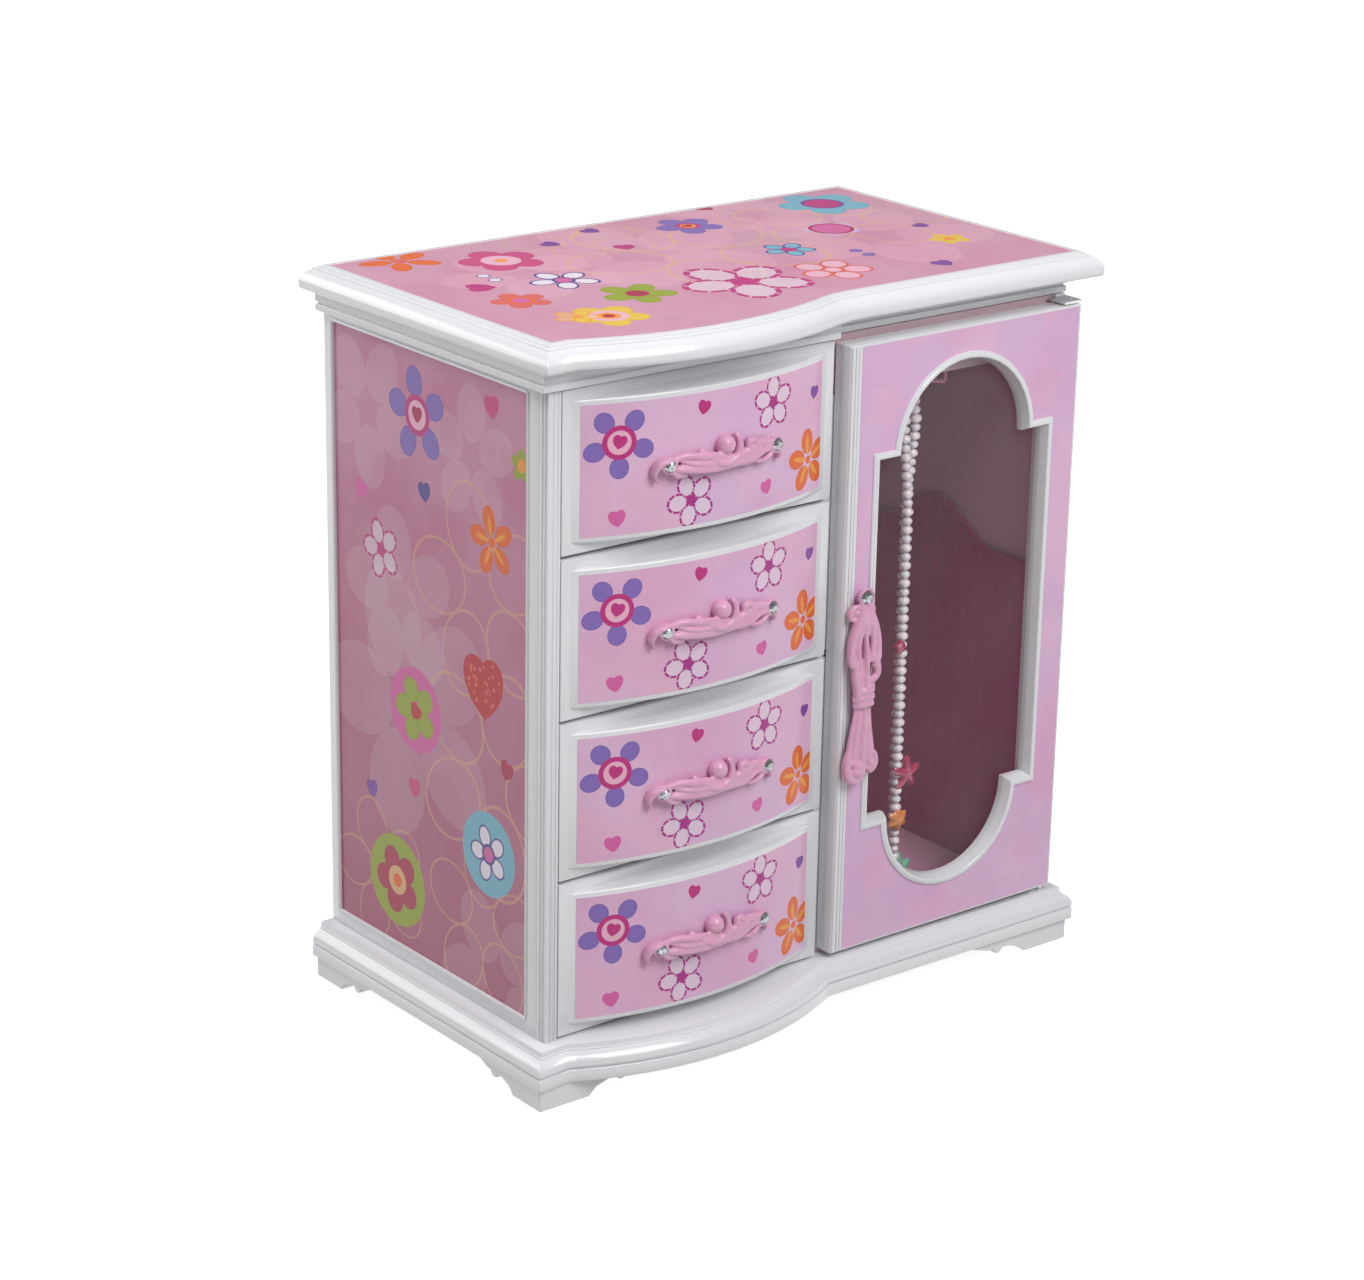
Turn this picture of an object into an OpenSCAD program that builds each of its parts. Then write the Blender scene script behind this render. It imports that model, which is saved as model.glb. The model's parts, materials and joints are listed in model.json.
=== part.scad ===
// Ballerina jewellery box: an upright musical box with four bowed drawers on
// the left, a glazed necklace cabinet on the right, and a mirrored lid over a
// fitted tray where a dancer springs up and turns.
// Frame: X runs to the right along the front, Y from front to back, Z up.
// Origin: middle of the whole box's outline, on the plane the feet stand on.

/* [Case] */
// Width of the case over its side panels
case_w = 280; // [270:1:300]
// Depth of the case from the drawer fronts to the back
case_d = 158; // [150:1:180]
// Thickness of the side, bottom and partition boards
board = 6; // [5:0.5:7]
// Thickness of the back panel
back_t = 4; // [3:0.5:5]
// Thickness of the shelves between the drawers
shelf_t = 3; // [2:0.5:3.5]
// Width of the drawer column, from the case's left side to the partition
column_w = 145; // [140:1:150]

/* [Base] */
// Height of the bracket feet
foot_h = 9.8; // [8:0.2:14]
// Height of the base moulding above the feet
base_h = 15.4; // [13:0.2:18]
// How far the base moulding stands out from the case
base_proud = 10.6; // [8:0.2:12]
// How far the base bows out under the drawers
base_bow = 16; // [14:0.5:18]

/* [Drawers] */
// Height of one drawer front
front_h = 67.3; // [64:0.1:70]
// Gap between neighbouring drawer fronts
front_gap = 1.6; // [1:0.2:2]
// Thickness of the flat slab of a drawer front
slab_t = 6; // [5:0.5:7]
// Margin of the slab left bare around the bowed block
slab_margin = 4.5; // [3:0.5:6]
// How far the bowed block stands out at its middle
front_bow = 13; // [10:0.5:15]
// Wall thickness of the drawer boxes
drawer_wall = 3; // [2.5:0.5:4]
// Inner height of the lower drawers' boxes
box_h = 52; // [40:1:58]
// Height of the top drawer's shallower box
top_box_h = 36; // [25:1:38]

/* [Door] */
// Thickness of the door
door_t = 9.7; // [9:0.1:10]
// Half the width of the window
window_half_w = 48; // [40:1:52]
// Radius of the arches at the top and bottom of the window
window_r = 36.5; // [30:0.5:40]
// Width of the bead around the window
bead_w = 4.5; // [3:0.5:6]

/* [Lid] */
// Thickness of the lid board
lid_t = 10.6; // [9:0.2:13]
// Height of the rim under the lid board
rim_h = 8.6; // [6:0.2:10]
// How far the lid's lip stands out from the case
lid_proud = 10; // [7:0.5:12]
// How far the lid stands out at the sides
lid_side = 8.5; // [6:0.5:10]
// How far the lid stands out at the back
lid_rear = 6.7; // [5:0.1:8]

/* [Tray] */
// Depth of the tray under the lid
tray_depth = 22; // [20:0.5:22]
// Thickness of the tray's floor and walls
tray_t = 3; // [2:0.5:3]
// Radius of the padded ring rolls
roll_r = 7.5; // [6:0.5:8]

/* [Movement] */
// Teeth of the crown wheel on the spring barrel
crown_teeth = 36; // [36:12:48]
// Teeth of the wheel on the pinned drum
drum_teeth = 24; // [24:12:24]
// Teeth of the governor's pinion
fly_teeth = 12; // [12:2:12]
// Tooth size: pitch diameter divided by the number of teeth
gear_module = 0.6; // [0.6:0.1:0.6]
// How far the winding key reaches behind the case
key_reach = 18; // [14:0.5:22]

/* [Hidden] */
$fn = 48;

// Clearance between parts that move past each other
gap = 0.3;
// Extra length of a cutting shape past the faces it cuts
cut = 1;

// Planes of the case
base_top = foot_h + base_h;
yf = -(case_d + key_reach - base_proud - base_bow) / 2;
yb = yf + case_d;
xl = -case_w / 2;
xr = case_w / 2;
inner_left = xl + board;
inner_right = xr - board;
inner_back = yb - back_t;
partition_x = xl + column_w;
floor_top = base_top + 0.5;

// Drawer fronts: a slab with a bowed block
slab_l = inner_left + 0.5;
slab_r = partition_x - gap;
pitch = front_h + front_gap;
fronts_z = base_top + 1;
bow_x = (slab_l + slab_r) / 2;
bow_half = (slab_r - slab_l) / 2 - slab_margin;
case_top = fronts_z + 4 * pitch - front_gap + 0.4;

// Door, hinged on pins near its right front edge
door_l = partition_x + 4;
door_z0 = base_top + 2.2;
door_z1 = case_top - 2.8;
door_front = yf - 5;
door_back = door_front + door_t;
case_front = yf + 5;
pivot_x = xr - 3;
pivot_y = door_front + 3;
door_pin_r = 1.2;
window_x = (door_l + xr) / 2;
window_z0 = door_z0 + 57.5;
window_z1 = door_z1 - 51;

// Lid and its hinge
rim_z = case_top + gap;
lid_z = rim_z + rim_h;
lid_top = lid_z + lid_t;
hinge_y = yb + 2.2;
hinge_z = case_top + 0.2;
hinge_x = case_w * 0.32;
mirror_t = 1.8;

// Tray
tray_z = case_top - gap - tray_depth;
tray_front = yf + slab_t + gap;
tray_back = inner_back - gap;
divider_x = partition_x + 9;

// Movement, on the inside of the back panel behind the top drawer
barrel_z = base_top + 223;
barrel_r = 10;
crown_r = crown_teeth * gear_module / 2;
drum_r = drum_teeth * gear_module / 2;
fly_r = fly_teeth * gear_module / 2;
tooth_add = gear_module;
tooth_w = 0.65;
plate_y = inner_back - 2;
barrel_y = plate_y - gap - 9;
crown_tip_y = barrel_y - 2.7;
drum_y = crown_tip_y - drum_r - tooth_add + 0.7;
wheel_z = barrel_z + crown_r;
fly_x = bow_x - drum_r - fly_r - 0.15;
arbor_r = 2;

// Dancer: a sprung pedestal that lies down under the closed lid
spring_bend = 9.5;
spring_z = tray_z + 5.3;
lie_z = spring_z + spring_bend;
feet_y = drum_y - spring_bend;
tutu_r = 12.5;

// Necklace carousel
carousel_x = window_x - 7.5;
carousel_y = yf + 59;
hook_r = 38;
carousel_z = tray_z - tray_t - 13;

// ---------------------------------------------------------------- helpers

// Radius of an arc with the given half chord and rise
function arc_r(half, rise) = (half * half + rise * rise) / (2 * rise);

// Points of the bow, left to right, on a line that stands `out` before yf
function bow_line(out, rise, steps = 24) =
    let (r = arc_r(bow_half, rise) + out,
         cy = yf - rise - out + r,
         a = acos((r - rise) / r))
    [for (i = [0:steps])
        let (t = -a + 2 * a * i / steps)
        [bow_x + r * sin(t), cy - r * cos(t)]];

// Outline of a board with the bowed front, between x0 and x1
module bowed_board(x0, x1, back, out, rise) {
    polygon(concat([[x0, back], [x0, yf - out]],
                   bow_line(out, rise),
                   [[x1, yf - out], [x1, back]]));
}

// Box between two corners
module block(low, high) {
    translate(low)
        cube([high[0] - low[0], high[1] - low[1], high[2] - low[2]]);
}

// Cylinder along Y from y0 to y1
module rod_y(x, z, y0, y1, r) {
    translate([x, y0, z])
        rotate([-90, 0, 0])
            cylinder(h = y1 - y0, r = r);
}

// Cylinder along X from x0 to x1
module rod_x(y, z, x0, x1, r) {
    translate([x0, y, z])
        rotate([0, 90, 0])
            cylinder(h = x1 - x0, r = r);
}

// Extrudes an outline drawn in X and Z between y0 and y1
module upright(y0, y1) {
    translate([0, y1, 0])
        rotate([90, 0, 0])
            linear_extrude(y1 - y0)
                children();
}

// Unit vector
function unit(v) = v / norm(v);

// Closed tube along points, with `sides` corners to a ring
module tube(points, r, sides = 8) {
    n = len(points);
    rings = [for (i = [0:n - 1])
        let (a = points[max(i - 1, 0)],
             b = points[min(i + 1, n - 1)],
             t = unit(b - a),
             u = unit(cross(t, abs(t[0]) > 0.9 ? [0, 1, 0] : [1, 0, 0])),
             v = cross(t, u))
        for (k = [0:sides - 1])
            points[i] + r * (cos(360 * k / sides) * u
                             + sin(360 * k / sides) * v)];
    walls = [for (i = [0:n - 2]) for (k = [0:sides - 1])
        let (k2 = (k + 1) % sides)
        [i * sides + k, i * sides + k2,
         (i + 1) * sides + k2, (i + 1) * sides + k]];
    first = [for (k = [0:sides - 1]) sides - 1 - k];
    last = [for (k = [0:sides - 1]) (n - 1) * sides + k];
    polyhedron(rings, concat([first], walls, [last]), convexity = 6);
}

// Spur gear outline with narrow straight teeth, one tooth along +Y
module gear(teeth) {
    pitch_r = teeth * gear_module / 2;
    union() {
        circle(r = pitch_r - tooth_add - 0.15);
        for (i = [0:teeth - 1])
            rotate(360 * i / teeth)
                polygon([[-tooth_w / 2 - 0.12, pitch_r - tooth_add - 0.5],
                         [tooth_w / 2 + 0.12, pitch_r - tooth_add - 0.5],
                         [tooth_w / 2 - 0.12, pitch_r + tooth_add],
                         [-tooth_w / 2 + 0.12, pitch_r + tooth_add]]);
    }
}

// ------------------------------------------------------------------- base

// Front or side outline of one bracket foot, growing from the corner
module foot_outline(length) {
    polygon([[0, 0], [length * 0.42, 0], [length * 0.48, foot_h * 0.35],
             [length * 0.6, foot_h * 0.55], [length * 0.8, foot_h * 0.6],
             [length, foot_h], [0, foot_h]]);
    translate([length * 0.7, foot_h * 0.62])
        circle(r = foot_h * 0.28, $fn = 32);
}

// One bracket foot at the corner (sx, sy), drawn as two boards that meet
module bracket_foot(sx, sy) {
    x = sx * (case_w / 2 + lid_side);
    y = sy < 0 ? yf - lid_side : yb;
    foot_t = 8;
    translate([x, y, 0])
        scale([-sx, -sy, 1]) {
            upright(0, foot_t)
                foot_outline(60);
            rotate([90, 0, 90])
                linear_extrude(foot_t)
                    foot_outline(46);
        }
}

module plinth_feet() {
    color("white") {
        bracket_foot(-1, -1);
        bracket_foot(1, -1);
        bracket_foot(-1, 1);
        bracket_foot(1, 1);
    }
}

// Each course of the base moulding: its top, and how far it stands in
// from the lip
base_courses = [[6.2, 0], [8.7, 0.8], [11.2, 2], [13.3, 3.2], [base_h, 4.4]];

module base_moulding() {
    color("white")
    difference() {
        union() {
            for (course = base_courses)
                translate([0, 0, foot_h])
                    linear_extrude(course[0])
                        bowed_board(xl - base_proud + course[1],
                                    xr + base_proud - course[1],
                                    yb, base_proud - course[1], base_bow);
        }
        block([inner_left, case_front, foot_h - cut],
              [inner_right, inner_back, base_top + cut]);
        translate([pivot_x, pivot_y, base_top - 5])
            cylinder(h = 5 + cut, r = door_pin_r + 0.05);
    }
}

module bottom_board() {
    color("mistyrose")
        block([inner_left, case_front, floor_top - board],
              [inner_right, inner_back, floor_top]);
}

// ------------------------------------------------------------------- case

module side_panel_left() {
    color("plum")
        block([xl, yf + slab_t, base_top], [inner_left, yb, case_top]);
}

module side_panel_right() {
    color("plum")
        block([inner_right, case_front, base_top], [xr, yb, case_top]);
}

module corner_post() {
    color("white")
        block([xl, yf, base_top], [inner_left, yf + slab_t, case_top]);
}

module partition() {
    color("white")
    difference() {
        block([partition_x, case_front, floor_top],
              [partition_x + board, inner_back, tray_z - tray_t]);
        rod_y(partition_x + board - 2, (door_z0 + door_z1) / 2,
              case_front - cut, case_front + 3, 1.5);
    }
}

module back_panel() {
    color("white")
    difference() {
        block([inner_left, inner_back, base_top],
              [inner_right, yb, case_top]);
        rod_y(bow_x, barrel_z, inner_back - cut, yb + cut, arbor_r + 1);
    }
}

// Lowest point of drawer front number i, counted from the top
function front_z(i) = fronts_z + (4 - i) * pitch;

module drawer_shelves() {
    color("mistyrose")
        for (i = [1:3])
            translate([0, 0, front_z(i) - front_gap / 2 - shelf_t / 2])
                block([inner_left, yf + slab_t + gap, 0],
                      [partition_x, inner_back, shelf_t]);
}

module tray() {
    floor_z = tray_z - tray_t;
    color("orchid")
    difference() {
        block([inner_left + gap, tray_front, floor_z],
              [inner_right - gap, tray_back, case_top - gap]);
        block([inner_left + gap + tray_t, tray_front + tray_t, tray_z],
              [inner_right - gap - tray_t, tray_back - tray_t,
               case_top + cut]);
        translate([bow_x, drum_y, floor_z - cut])
            cylinder(h = tray_t + 2 * cut, r = 2.2);
    }
}

module tray_lining() {
    color("hotpink")
    difference() {
        block([inner_left + gap + tray_t + 0.2, tray_front + tray_t + 0.2,
               tray_z],
              [inner_right - gap - tray_t - 0.2, tray_back - tray_t - 0.2,
               tray_z + 1]);
        translate([bow_x, drum_y, tray_z - cut])
            cylinder(h = 1 + 2 * cut, r = 5);
    }
}

module tray_divider() {
    top = tray_z + tray_depth - 5;
    mid_y = tray_front + tray_t + 6 * (2 * roll_r + 0.6) + 2;
    color("orchid") {
        block([divider_x - 1, tray_front + tray_t + 0.5, tray_z + 1.1],
              [divider_x + 1, tray_back - tray_t - 0.5, top]);
        block([divider_x + 1, mid_y, tray_z + 1.1],
              [inner_right - gap - tray_t - 0.5, mid_y + 2, top]);
    }
}

module ring_rolls() {
    color("hotpink")
        for (i = [0:5])
            rod_x(tray_front + tray_t + 1 + roll_r + i * (2 * roll_r + 0.6),
                  tray_z + 1.1 + roll_r,
                  divider_x + 1.6, inner_right - gap - tray_t - 0.8, roll_r);
}

// ---------------------------------------------------------------- cabinet

module cabinet_lining() {
    skin = 1.2;
    color("rosybrown")
    difference() {
        block([partition_x + board, case_front + 0.5, floor_top],
              [inner_right, inner_back, tray_z - tray_t - 0.5]);
        block([partition_x + board + skin, case_front - cut,
               floor_top + skin],
              [inner_right - skin, inner_back - skin, tray_z]);
    }
}

// Top edge of the pocket: level shoulders with a hump between them
function pocket_top(y) =
    let (middle = (case_front + inner_back) / 2 - 16, half = 38,
         u = min(1, abs(y - middle) / half))
    base_top + 152 + 7 * (1 + cos(180 * u));

module necklace_pocket() {
    y0 = case_front + 6;
    y1 = inner_back - 8;
    steps = 30;
    color("maroon")
        translate([inner_right - 2.8, 0, 0])
            rotate([90, 0, 90])
                linear_extrude(1.2)
                    polygon(concat(
                        [[y0, floor_top + 1.6]],
                        [for (i = [0:steps])
                            let (y = y0 + (y1 - y0) * i / steps)
                            [y, pocket_top(y)]],
                        [[y1, floor_top + 1.6]]));
}

module carousel_boss() {
    color("white")
        translate([carousel_x, carousel_y, 0])
            difference() {
                translate([0, 0, carousel_z + gap])
                    cylinder(h = tray_z - tray_t - carousel_z - gap, r = 9);
                translate([0, 0, carousel_z - cut])
                    cylinder(h = 9 + cut, r = 3.05);
            }
}

module door_bracket() {
    color("silver")
    difference() {
        block([pivot_x - 7, pivot_y - 3, door_z1 + 0.6],
              [xr, case_front, door_z1 + 1.8]);
        translate([pivot_x, pivot_y, door_z1])
            cylinder(h = 3, r = door_pin_r + 0.05);
    }
}

module catch_magnet() {
    color("dimgray")
        rod_y(partition_x + board - 2, (door_z0 + door_z1) / 2,
              case_front, case_front + 3, 1.5);
}

// ------------------------------------------------------------- lid hinge

leaf_half = 14;
knuckle_half = 4.7;
knuckle_r = 2.1;
hinge_pin_r = 1;

module lid_hinge_lower() {
    color("gold")
    for (x = [-hinge_x, hinge_x])
        difference() {
            union() {
                block([x - leaf_half, yb, hinge_z - 14],
                      [x + leaf_half, yb + 1, hinge_z - 2.5]);
                for (s = [-1, 1])
                    translate([x + s * (leaf_half + knuckle_half + gap) / 2,
                               0, 0]) {
                        half = (leaf_half - knuckle_half - gap) / 2;
                        block([-half, yb, hinge_z - 2.6],
                              [half, yb + 1, hinge_z]);
                        rod_x(hinge_y, hinge_z, -half, half, knuckle_r);
                    }
            }
            rod_x(hinge_y, hinge_z, x - leaf_half - cut,
                  x + leaf_half + cut, hinge_pin_r);
        }
}

module lid_hinge_pins() {
    color("silver")
        for (x = [-hinge_x, hinge_x])
            rod_x(hinge_y, hinge_z, x - leaf_half, x + leaf_half,
                  hinge_pin_r);
}

module lid_hinge_upper() {
    color("gold")
    for (x = [-hinge_x, hinge_x])
        difference() {
            union() {
                block([x - leaf_half, yb, hinge_z + 2.5],
                      [x + leaf_half, yb + 1, lid_z - 0.3]);
                block([x - knuckle_half, yb, hinge_z + 0.2],
                      [x + knuckle_half, yb + 1, hinge_z + 2.6]);
                rod_x(hinge_y, hinge_z, x - knuckle_half,
                      x + knuckle_half, knuckle_r);
            }
            rod_x(hinge_y, hinge_z, x - leaf_half, x + leaf_half,
                  hinge_pin_r + 0.05);
        }
}

// -------------------------------------------------------------------- lid

// Each course of the lid's edge: its top, and how far it stands in
lid_courses = [[5.6, 0], [7.6, 1.2], [9.2, 3.2], [lid_t, 6.9]];

module lid_board() {
    color("white")
    translate([0, 0, lid_z])
        for (course = lid_courses)
            linear_extrude(course[0])
                bowed_board(xl - lid_side + course[1],
                            xr + lid_side - course[1],
                            yb + lid_rear - course[1],
                            lid_proud - course[1], front_bow);
}

module lid_rim() {
    rim_t = 8;
    color("white")
    translate([0, 0, rim_z])
        linear_extrude(rim_h)
            difference() {
                polygon([[xl - 4, yb], [xl - 4, yf - 2],
                         [door_l - 3, yf - 2], [door_l - 3, case_front],
                         [xr, case_front], [xr, yb]]);
                translate([inner_left, tray_front + 2])
                    square([case_w - 2 * board, case_d - 8.6 - rim_t]);
            }
}

module lid_mirror() {
    color("lightblue")
        block([-case_w * 0.36, yf + 20, lid_z - mirror_t],
              [case_w * 0.36, yb - 16, lid_z]);
}

// ---------------------------------------------------------------- drawers

module drawer_front(i) {
    z = front_z(i);
    color("pink") {
        block([slab_l, yf, z], [slab_r, yf + slab_t, z + front_h]);
        translate([0, 0, z + slab_margin])
            linear_extrude(front_h - 2 * slab_margin)
                polygon(concat([[slab_l + slab_margin, yf + 1]],
                               bow_line(0, front_bow),
                               [[slab_r - slab_margin, yf + 1]]));
    }
}

// Rear face of a drawer box: the top one stops short of the movement
function box_back(i) = i == 1 ? drum_y - drum_r - 4 : inner_back - 6;
function box_top(i) = front_z(i) + 1 + (i == 1 ? top_box_h : box_h);

module drawer_box(i) {
    z = front_z(i) + 1;
    x0 = slab_l + 1;
    x1 = slab_r - 1;
    color("mistyrose")
    difference() {
        block([x0, yf + slab_t, z], [x1, box_back(i), box_top(i)]);
        block([x0 + drawer_wall, yf + slab_t + drawer_wall,
               z + drawer_wall],
              [x1 - drawer_wall, box_back(i) - drawer_wall,
               box_top(i) + cut]);
    }
}

module drawer_lining(i) {
    z = front_z(i) + 1 + drawer_wall;
    inset = 1 + drawer_wall + 0.3;
    color("hotpink")
        block([slab_l + inset, yf + slab_t + drawer_wall + 0.3, z],
              [slab_r - inset, box_back(i) - drawer_wall - 0.3, z + 1.2]);
}

// Distance of a pull's two studs from its middle
pull_stud_x = 26.8;

// Height of the ribbon's middle line along the pull, as a lazy wave
function ribbon_wave(u) = 3 * sin(300 * u);

// Ribbon scroll of a drawer pull, drawn about its middle
module pull_outline() {
    half = 31;
    steps = 24;
    upper = [for (i = [0:steps])
        let (u = -1 + 2 * i / steps)
        [half * u, ribbon_wave(u) + 3.6 - 2 * u * u]];
    lower = [for (i = [steps:-1:0])
        let (u = -1 + 2 * i / steps)
        [half * u, ribbon_wave(u) - 3.6 + 2 * u * u]];
    polygon(concat(upper, lower));
    difference() {
        union() {
            translate([2, 4])
                circle(r = 7.5);
            translate([17, -3])
                circle(r = 6.5);
            translate([-15, -3])
                circle(r = 6);
        }
        translate([2, 5.5])
            circle(r = 3);
    }
    for (s = [-1, 1])
        translate([s * pull_stud_x, 0])
            circle(r = 4.5);
}

module drawer_pull(i) {
    z = front_z(i) + front_h / 2;
    face_r = arc_r(bow_half, front_bow);
    face_y = yf - front_bow + face_r;
    color("lightpink") {
        intersection() {
            translate([bow_x, 0, z])
                upright(yf - front_bow - 8, yf)
                    pull_outline();
            translate([bow_x, face_y, z - 20])
                difference() {
                    cylinder(h = 40, r = face_r + 6, $fn = 360);
                    translate([0, 0, -cut])
                        cylinder(h = 40 + 2 * cut, r = face_r + 1.4,
                                 $fn = 360);
                }
        }
        difference() {
            for (s = [-1, 1])
                rod_y(bow_x + s * pull_stud_x, z, yf - front_bow - 1.5,
                      yf - front_bow + 5, 2.5);
            translate([bow_x, face_y, z - 20])
                cylinder(h = 40, r = face_r + 0.02, $fn = 360);
        }
    }
}

module drawer_1_front() { drawer_front(1); }
module drawer_2_front() { drawer_front(2); }
module drawer_3_front() { drawer_front(3); }
module drawer_4_front() { drawer_front(4); }
module drawer_1_box() { drawer_box(1); }
module drawer_2_box() { drawer_box(2); }
module drawer_3_box() { drawer_box(3); }
module drawer_4_box() { drawer_box(4); }
module drawer_1_lining() { drawer_lining(1); }
module drawer_2_lining() { drawer_lining(2); }
module drawer_3_lining() { drawer_lining(3); }
module drawer_4_lining() { drawer_lining(4); }
module drawer_1_pull() { drawer_pull(1); }
module drawer_2_pull() { drawer_pull(2); }
module drawer_3_pull() { drawer_pull(3); }
module drawer_4_pull() { drawer_pull(4); }

// ------------------------------------------------------------------- door

// Window outline in X and Z: a rectangle with an arch at each end
module window_outline(grow = 0) {
    translate([window_x - window_half_w - grow, window_z0 - grow])
        square([2 * (window_half_w + grow),
                window_z1 - window_z0 + 2 * grow]);
    for (z = [window_z0, window_z1])
        translate([window_x, z])
            circle(r = window_r + grow, $fn = 96);
}

// Pocket in the back of the door that holds the pane
pane_y = door_back - 4.4;
pane_l = window_x - window_half_w - 5;
pane_r = window_x + window_half_w + 5;
pane_z0 = window_z0 - window_r - 5;
pane_z1 = window_z1 + window_r + 5;

module door_frame() {
    color("pink")
    difference() {
        block([door_l, door_front, door_z0], [xr, door_back, door_z1]);
        upright(door_front - cut, door_back + cut)
            window_outline();
        block([pane_l, pane_y, pane_z0],
              [pane_r, door_back + cut, pane_z1]);
        translate([xr, door_back, door_z0 - cut])
            rotate(45)
                translate([-1.5, -1.5, 0])
                    cube([3, 3, door_z1 - door_z0 + 2 * cut]);
        for (z = [door_z0 - cut, door_z1 - 6])
            translate([pivot_x, pivot_y, z])
                cylinder(h = 6 + cut, r = door_pin_r);
        rod_y(partition_x + board - 0.6, (door_z0 + door_z1) / 2,
              door_back - 1.5, door_back + cut, 1.5);
    }
}

module door_bead() {
    color("white")
        upright(door_front - 1.6, door_front)
            difference() {
                window_outline(bead_w);
                window_outline();
            }
}

module door_pane() {
    color("lightcyan", 0.4)
        block([pane_l + 0.2, pane_y, pane_z0 + 0.2],
              [pane_r - 0.2, pane_y + 1.6, pane_z1 - 0.2]);
}

module door_retainer() {
    strip = 4;
    color("white")
    difference() {
        block([pane_l, pane_y + 1.6, pane_z0],
              [pane_r, door_back - 0.4, pane_z1]);
        block([pane_l + strip, pane_y, pane_z0 + strip],
              [pane_r - strip, door_back + cut, pane_z1 - strip]);
    }
}

module door_pins() {
    color("silver") {
        translate([pivot_x, pivot_y, base_top - 4])
            cylinder(h = door_z0 + 5 - base_top + 4, r = door_pin_r);
        translate([pivot_x, pivot_y, door_z1 - 6])
            cylinder(h = 7.6, r = door_pin_r);
    }
}

module door_catch_plate() {
    color("silver")
        rod_y(partition_x + board - 0.6, (door_z0 + door_z1) / 2,
              door_back - 1.5, door_back, 1.5);
}

// Bow with a loop and a tail, drawn about the middle of the door's pull
module door_pull_outline() {
    difference() {
        union() {
            translate([0, 26])
                scale([0.62, 1])
                    circle(r = 14);
            translate([0, 40])
                circle(r = 4.5);
            translate([-5.5, -3])
                square([11, 18]);
            polygon([[-4.5, 0], [4.5, 0], [7, -20], [9, -38], [4, -44],
                     [-4, -42], [-9, -38], [-7, -20]]);
        }
        translate([0, 21])
            scale([0.5, 1])
                circle(r = 6);
    }
}

module door_pull() {
    z = (door_z0 + door_z1) / 2 - 13;
    x = door_l + 9.5;
    color("lightpink") {
        translate([x, 0, z])
            upright(door_front - 6, door_front - 2)
                door_pull_outline();
        for (dz = [38, -34])
            rod_y(x, z + dz, door_front - 2.1, door_front, 2.5);
    }
}

// --------------------------------------------------------------- carousel

module necklace_carousel() {
    arm_r = 1.2;
    color("white")
    translate([carousel_x, carousel_y, 0]) {
        translate([0, 0, carousel_z - 5])
            cylinder(h = 5, r = 13);
        translate([0, 0, carousel_z - cut])
            cylinder(h = 8 + cut, r = 3);
        for (i = [0:5])
            rotate(-90 + i * 60) {
                rod_x(0, carousel_z - 2.5, 10, hook_r + 3, arm_r);
                translate([hook_r + 3, 0, carousel_z - 2.5 - 0.2])
                    cylinder(h = 5, r = arm_r);
            }
    }
}

// The strand hangs over the front arm and closes on itself below it
strand_x = carousel_x;
strand_y = carousel_y - hook_r;
strand_low = floor_top + 20;
thread_r = 0.45;

// Route of the thread, down one side and up the other, as offsets in X
// and heights above the lowest point of the strand
strand_route = [
    [1.8, 214], [2.4, 211], [3.6, 204], [4.2, 190], [4.6, 170], [4.9, 150],
    [5.1, 130], [5.3, 110], [5.4, 90], [5.5, 70], [5.5, 50], [5.4, 34],
    [5.1, 20], [4.4, 9], [2.8, 2.4], [0, 0], [-2.8, 2.4], [-4.4, 9],
    [-5.1, 20], [-5.4, 34], [-5.5, 50], [-5.5, 70], [-5.4, 90],
    [-5.3, 110], [-5.1, 130], [-4.9, 150], [-4.6, 170], [-4.2, 190],
    [-3.6, 204], [-2.4, 211], [-1.8, 214]
];

// The loop leaves the arm square to it and turns a little as it hangs
function strand_turn(height) = 51 * min(1, max(0, (208 - height) / 30));

module necklace_thread() {
    color("ivory")
        tube([for (p = strand_route)
                let (turn = strand_turn(p[1]))
                [strand_x + p[0] * cos(turn), strand_y + p[0] * sin(turn),
                 strand_low + p[1]]], thread_r);
}

module necklace_charms() {
    color("palegreen")
        translate([strand_x, strand_y, strand_low - 7.6])
            upright(-1.5, 1.5) {
                circle(r = 2);
                for (i = [0:4])
                    rotate(90 + 72 * i)
                        translate([4, 0])
                            circle(r = 2.9, $fn = 24);
            }
}

// --------------------------------------------------------------- movement

module movement_bedplate() {
    top_z = wheel_z + 2.2;
    low_z = barrel_z - crown_r - 2.6;
    ledge = 1.5;
    color("goldenrod")
    difference() {
        union() {
            block([bow_x - 23, plate_y, low_z - 1],
                  [bow_x + 24, inner_back, top_z + 3]);
            block([fly_x - 4, drum_y - 3.5, top_z],
                  [bow_x + 5, plate_y + 0.5, top_z + ledge]);
            block([fly_x - 4, drum_y - 3.5, low_z - ledge + 0.6],
                  [bow_x + 5, plate_y + 0.5, low_z + 0.6]);
        }
        rod_y(bow_x, barrel_z, plate_y - cut, inner_back + cut,
              arbor_r + 0.05);
        translate([bow_x, drum_y, low_z - 5])
            cylinder(h = 50, r = 1.55);
        translate([fly_x, drum_y, low_z - 5])
            cylinder(h = 50, r = 0.85);
    }
}

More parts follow.
